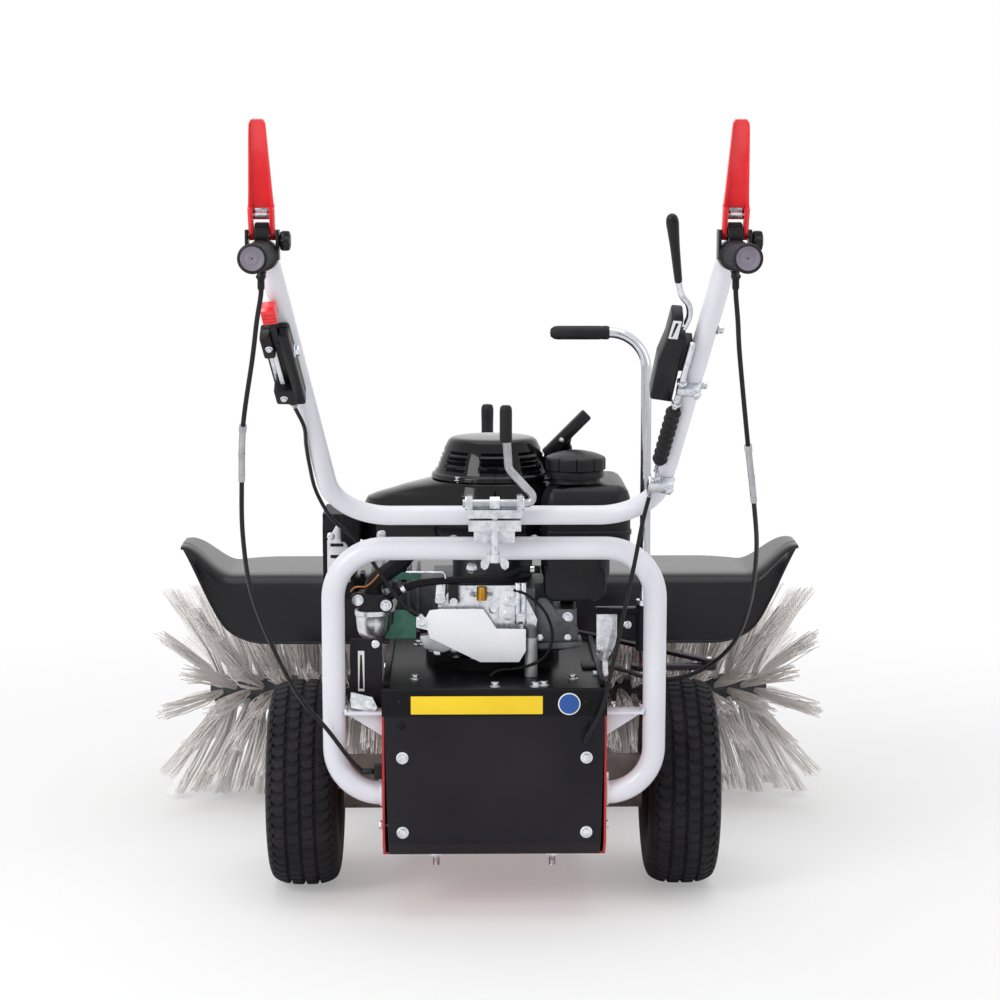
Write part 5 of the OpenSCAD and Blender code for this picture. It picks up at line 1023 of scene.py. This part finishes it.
for z, low, high in ((93, (-26, -29, 83), (10, -14.5, 103)), (294, (-22.5, -27, 287), (10, -14.5, 301))):
    boot += [
        (block(low, high, 1.2, 2), zinc),
        (lathe([(14.2, -6), (16.6, -6), (16.6, 6), (14.2, 6)], (0, 0, z), UP, 36, True), zinc),
        *screws(zinc, [(4, low[1], z)], -AHEAD, 9, 6, 7, 4),
    ]
for z in (107, 262, 305):
    boot.append((prism(hexagon(13), (*SHIFT_XY, z), RIGHT, AHEAD, 6, 0.8), zinc))
piece("shift_boot", "handlebar", on_arm(boot, 1), ["shift_bellows"])

# Control cables
# Steel cables in black plastic sheaths, from the levers and the two hand controls down to the machine.
# The long ones have a steel adjuster with lock nuts on the way.

# Extruded polyethylene is smooth, with a soft sheen.
sheath = finish("black polyethylene cable sheath", "#111012", "#181619", 40, 2, 0.02, (0.3, 0.42), SATIN)
left_run = [(-299, -634, 967.6), (-299.5, -633, 950), (-307, -612, 915), (-316, -580, 866),
            (-334, -528, 775), (-339, -505, 700), (-342, -470, 620), (-338, -400, 530), (-316, -330, 440),
            (-282, -268, 352), (-246, -226, 296), (-212, -214, 246), (-194.6, -202, 226),
            (-185.6, -202, 226), (-178.6, -202, 226)]
right_run = [(299, -634, 967.6), (299.5, -633, 950), (305, -612, 915), (312, -580, 866), (330, -530, 748),
             (342, -504, 670), (356, -430, 590), (360, -330, 500), (350, -240, 428), (318, -170, 376),
             (276, -146, 354), (232, -134, 352), (196, -126, 362), (172.5, -122, 366)]
cables = []
for side, run in (("left", left_run), ("right", right_run)):
    path = flowing(run, 10)
    parts = [(tube(path, 3.2, 14), sheath), (tube(path[40:51], 4.3, 20), shaft_steel)]
    for at, long, wide in ((40, 9, 5.8), (45, 5, 5.2), (49, 10, 5.0)):
        nut = [(4.2, 0), (wide, 0), (wide, long), (4.2, long)]
        parts.append((lathe(nut, path[at], path[at + 1] - path[at], 6, True), shaft_steel))
    parts.append((lathe([(3.2, -1), (4.6, 0), (4.6, 9), (3.3, 12)], run[0], -UP, 20), sheath))
    if side == "left":
        parts.append((lathe([(3.3, -20), (4.8, -18), (4.8, -2), (3.2, 0)], run[-1], RIGHT, 20), sheath))
    cables.append((piece("clutch_cable_" + side, None, parts), run[9], run[3]))
anchor = [
    (block((150, -132, 354), (164, -112, 359), 0.8), zinc),
    (block((164, -132, 354), (172, -112, 376), 0.8), zinc),
    (block((-178.4, -210.6, 215.4), (-166.2, -193.4, 236.6), 1.2, 2), nylon),
]
piece("cable_anchor", "chassis", anchor)
throttle_arm = np.array([(10, -28, 287.6), (10, -28, 270), (6, -22, 222), (12, -14, 174), (16, -9, 125),
                         (18, -3, 62)]) @ ARM_AXES + KNEE
throttle_low = [(-237, -228, 610), (-215, -204, 585), (-197, -178, 562), (-176, -171, 530),
                (-150, -166, 490), (-132, -160, 466), (-112.4, -152, 452)]
throttle_run = np.vstack([throttle_arm * (-1, 1, 1), throttle_low])
shift_top = np.array((*SHIFT_XY, 82.4)) @ ARM_AXES + KNEE
shift_low = [(212, -254, 600), (202, -243, 540), (188, -240, 470), (174, -238, 400), (158, -234, 330),
             (136, -230, 284), (132, -226, 274)]
shift_run = np.vstack([shift_top, shift_top - ARM_Z * 30, shift_low])
for name, run, size in (("throttle_cable", throttle_run, 2.8), ("shift_cable", shift_run, 3.2)):
    top_cap = [(size, -2), (size + 1.6, -1), (size + 1.6, 14), (size, 17)]
    low_cap = [(size, 0), (size + 1.6, 2), (size + 1.6, 16), (size, 18)]
    parts = [
        (tube(flowing(run, 10), size, 12), sheath),
        (lathe(top_cap, run[0], run[1] - run[0], 20), zinc),
        (lathe(low_cap, run[-1], run[-2] - run[-1], 20), sheath),
    ]
    cables.append((piece(name, None, parts), run[-3], run[3 if size < 3 else 1]))

# Position scale and fixings left of the box
# A black plate with a white wedge scale, and a zinc pointer bracket bolted below it.
wedge = [(-200.6, 345), (-194.4, 345), (-196.2, 396), (-198.8, 396)]
pointer = filleted([(-212, 322), (-178, 314), (-172, 322), (-180, 338), (-212, 346)], 2)
scale = [
    (block((-214, -172, 302), (-166.3, -168, 420), 0.8), black_coat),
    (block((-202.2, -172.9, 341), (-192.8, -172, 402), 0.2), white_vinyl),
    (standing(wedge, -172.8, 0.5, 0.1), black_coat),
    (block((-212, -200, 330), (-178, -172.2, 333), 0.8), zinc),
    (standing(pointer, -198, 3, 0.6), zinc),
    *screws(zinc, [(x, -201, z) for x, z in ((-206, 334), (-184, 326))], -AHEAD, 9, 6, 7, 5),
    *screws(zinc, [(-176, -172, z) for z in (412, 310)], -AHEAD, 8, 5, 6, 4),
]
piece("scale_fittings", "chassis", scale, ["scale_plate"])

# Boom and support wheel
# A square boom runs over the brush to a sleeve at the front. A crank with an upright grip turns a screw
# that lifts the column, and a swivel fork below it holds a small solid wheel.
for node, look, edge in (("boom", red_coat, 2.0), ("castor_column", chrome, 0.6),
                         ("castor_fork", zinc, 1.0)):
    dress(node, look, edge)
CASTOR_Y, SLEEVE_TOP, WINDER_ARM = 832, 590, 62
turn = np.linspace(0, np.pi, 12)
arm_end = np.column_stack([9 * np.cos(turn), 9 * np.sin(turn)])
arm_plan = np.vstack([arm_end, -arm_end - (0, WINDER_ARM)])
grip_line = flowing([(5, 0), (9.6, 0.4), (11, 3), (11.5, 12), (11, 34), (11.5, 60), (11.3, 70), (9, 76.4),
                     (4, 77.9), (0.6, 78)], 5)
winder = [
    (lathe([(5, 330), (6, 331), (6, 606)], (0, CASTOR_Y, 0), UP, 24), zinc),
    (lathe([(10, 0), (12, 1.5), (12, 14), (10.5, 16)], (0, CASTOR_Y, SLEEVE_TOP + 0.5), UP, 36), zinc),
    (prism(arm_plan, (0, CASTOR_Y, SLEEVE_TOP + 8.5), RIGHT, AHEAD, 6, 1), zinc),
    (lathe(grip_line, (0, CASTOR_Y - WINDER_ARM, SLEEVE_TOP + 14.7), UP, 40), grip_rubber),
]
piece("height_winder", "height_crank", winder, ["height_crank"])
wheel_at = np.array((0, CASTOR_Y - 35, 62))
tread = flowing([(40, -17), (44, -18), (56, -18), (60.4, -15), (62, -9), (62, 9), (60.4, 15), (56, 18),
                 (44, 18), (40, 17)], 4)
disc_line = [(5.3, -19), (13, -19), (16, -17), (17, -8), (34, -7), (38, -12), (40.4, -16), (40.4, 16),
             (38, 12), (34, 7), (17, 8), (16, 17), (13, 19), (5.3, 19)]
castor = [(lathe(tread, wheel_at, RIGHT, 72, True), tyre_rubber),
          (lathe(disc_line, wheel_at, RIGHT, 60, True), nylon)]
piece("castor_tyre", "castor_wheel", castor, ["castor_wheel"])

# Cables and cord across their joints
# The sheaths and the starter cord are fixed where they were drawn, and the CAD cable nodes are hidden.
for cable, low, high in cables:
    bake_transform(cable)
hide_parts("clutch_cables")
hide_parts("control_cables")
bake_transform(rope)

# Studio
# A pale floor under soft white light: a broad lamp overhead, a key at the upper left, a fill at the right.
# The camera stands behind the machine at a height of 1.1 m and looks slightly down.
SKY_LEVEL, FLOOR_GLOW, GLOW_NEAR, GLOW_FAR, FLOOR_HALF = 0.68, 0.3, 0.9, 2.3, 9
CAMERA_AT, LOOK_DOWN, LOOK_RIGHT, FOCAL, SENSOR = (-45, -3600, 1085), 7.6, 0.9, 84.5, 36
scene = bpy.context.scene
scene.view_settings.view_transform = "Standard"
world = bpy.data.worlds.new("white studio")
world.use_nodes = True
scene.world = world
tree = world.node_tree
rays = add(tree, "LightPath").outputs
direct = add(tree, "Math", {0: rays["Is Camera Ray"], 1: rays["Is Glossy Ray"]}, operation="MAXIMUM")
direct = add(tree, "Math", {0: direct.outputs[0], 1: rays["Is Transmission Ray"]}, operation="MAXIMUM")
level = add(tree, "MapRange", {0: direct.outputs[0], 3: SKY_LEVEL, 4: 1.0})
tree.nodes["Background"].inputs["Color"].default_value = linear("#ffffff")
tree.links.new(level.outputs[0], tree.nodes["Background"].inputs["Strength"])

# The floor takes the shadow near the machine and fades to white farther out.
floor_look = finish("matt white studio floor", "#f2f2f2", "#f0f0f0", 900, 8, 0.02, (0.8, 0.9))
tree = floor_look.node_tree
rays = add(tree, "LightPath").outputs
glow = add(tree, "Emission", {"Color": linear("#ffffff"), "Strength": 1.0})
place = add(tree, "VectorMath", {0: add(tree, "TexCoord").outputs["Object"]}, operation="LENGTH")
fade = add(tree, "MapRange", {0: place.outputs["Value"], 1: GLOW_NEAR, 2: GLOW_FAR, 3: FLOOR_GLOW, 4: 1.0},
           interpolation_type="SMOOTHSTEP")
share = add(tree, "Math", {0: rays["Is Camera Ray"], 1: fade.outputs[0]}, operation="MULTIPLY")
blend = add(tree, "MixShader", {0: share.outputs[0], 1: tree.nodes["Principled BSDF"].outputs[0],
                                2: glow.outputs[0]})
tree.links.new(blend.outputs[0], tree.nodes["Material Output"].inputs["Surface"])
floor_mesh = bpy.data.meshes.new("floor")
corners = np.array([(-1, -1, 0), (1, -1, 0), (1, 1, 0), (-1, 1, 0)]) * float(FLOOR_HALF)
floor_mesh.from_pydata(corners, [], [(0, 1, 2, 3)])
floor_mesh.materials.append(floor_look)
floor = bpy.data.objects.new("floor", floor_mesh)
scene.collection.objects.link(floor)

for name, spot, aim, size, power in (("overhead", (0, 0, 3.6), (0, 0, 0), 3.0, 40),
                                     ("key", (-2.6, -2.8, 2.6), (0, 0, 0.5), 1.8, 66),
                                     ("fill", (3.2, -2.0, 1.8), (0, 0, 0.5), 1.8, 12)):
    lamp = bpy.data.lights.new(name, "AREA")
    lamp.shape = "SQUARE"
    lamp.size = size
    lamp.energy = power
    holder = bpy.data.objects.new(name, lamp)
    holder.location = spot
    look = np.array(aim, float) - spot
    tilt = np.arctan2(np.hypot(look[0], look[1]), -look[2])
    holder.rotation_euler = (tilt, 0, np.arctan2(-look[0], look[1]))
    scene.collection.objects.link(holder)

lens = bpy.data.cameras.new("camera")
lens.sensor_fit = "HORIZONTAL"
lens.sensor_width = SENSOR
lens.lens = FOCAL
camera = bpy.data.objects.new("camera", lens)
camera.location = metres(CAMERA_AT)
camera.rotation_euler = np.radians((90 - LOOK_DOWN, 0, -LOOK_RIGHT))
scene.collection.objects.link(camera)
scene.camera = camera
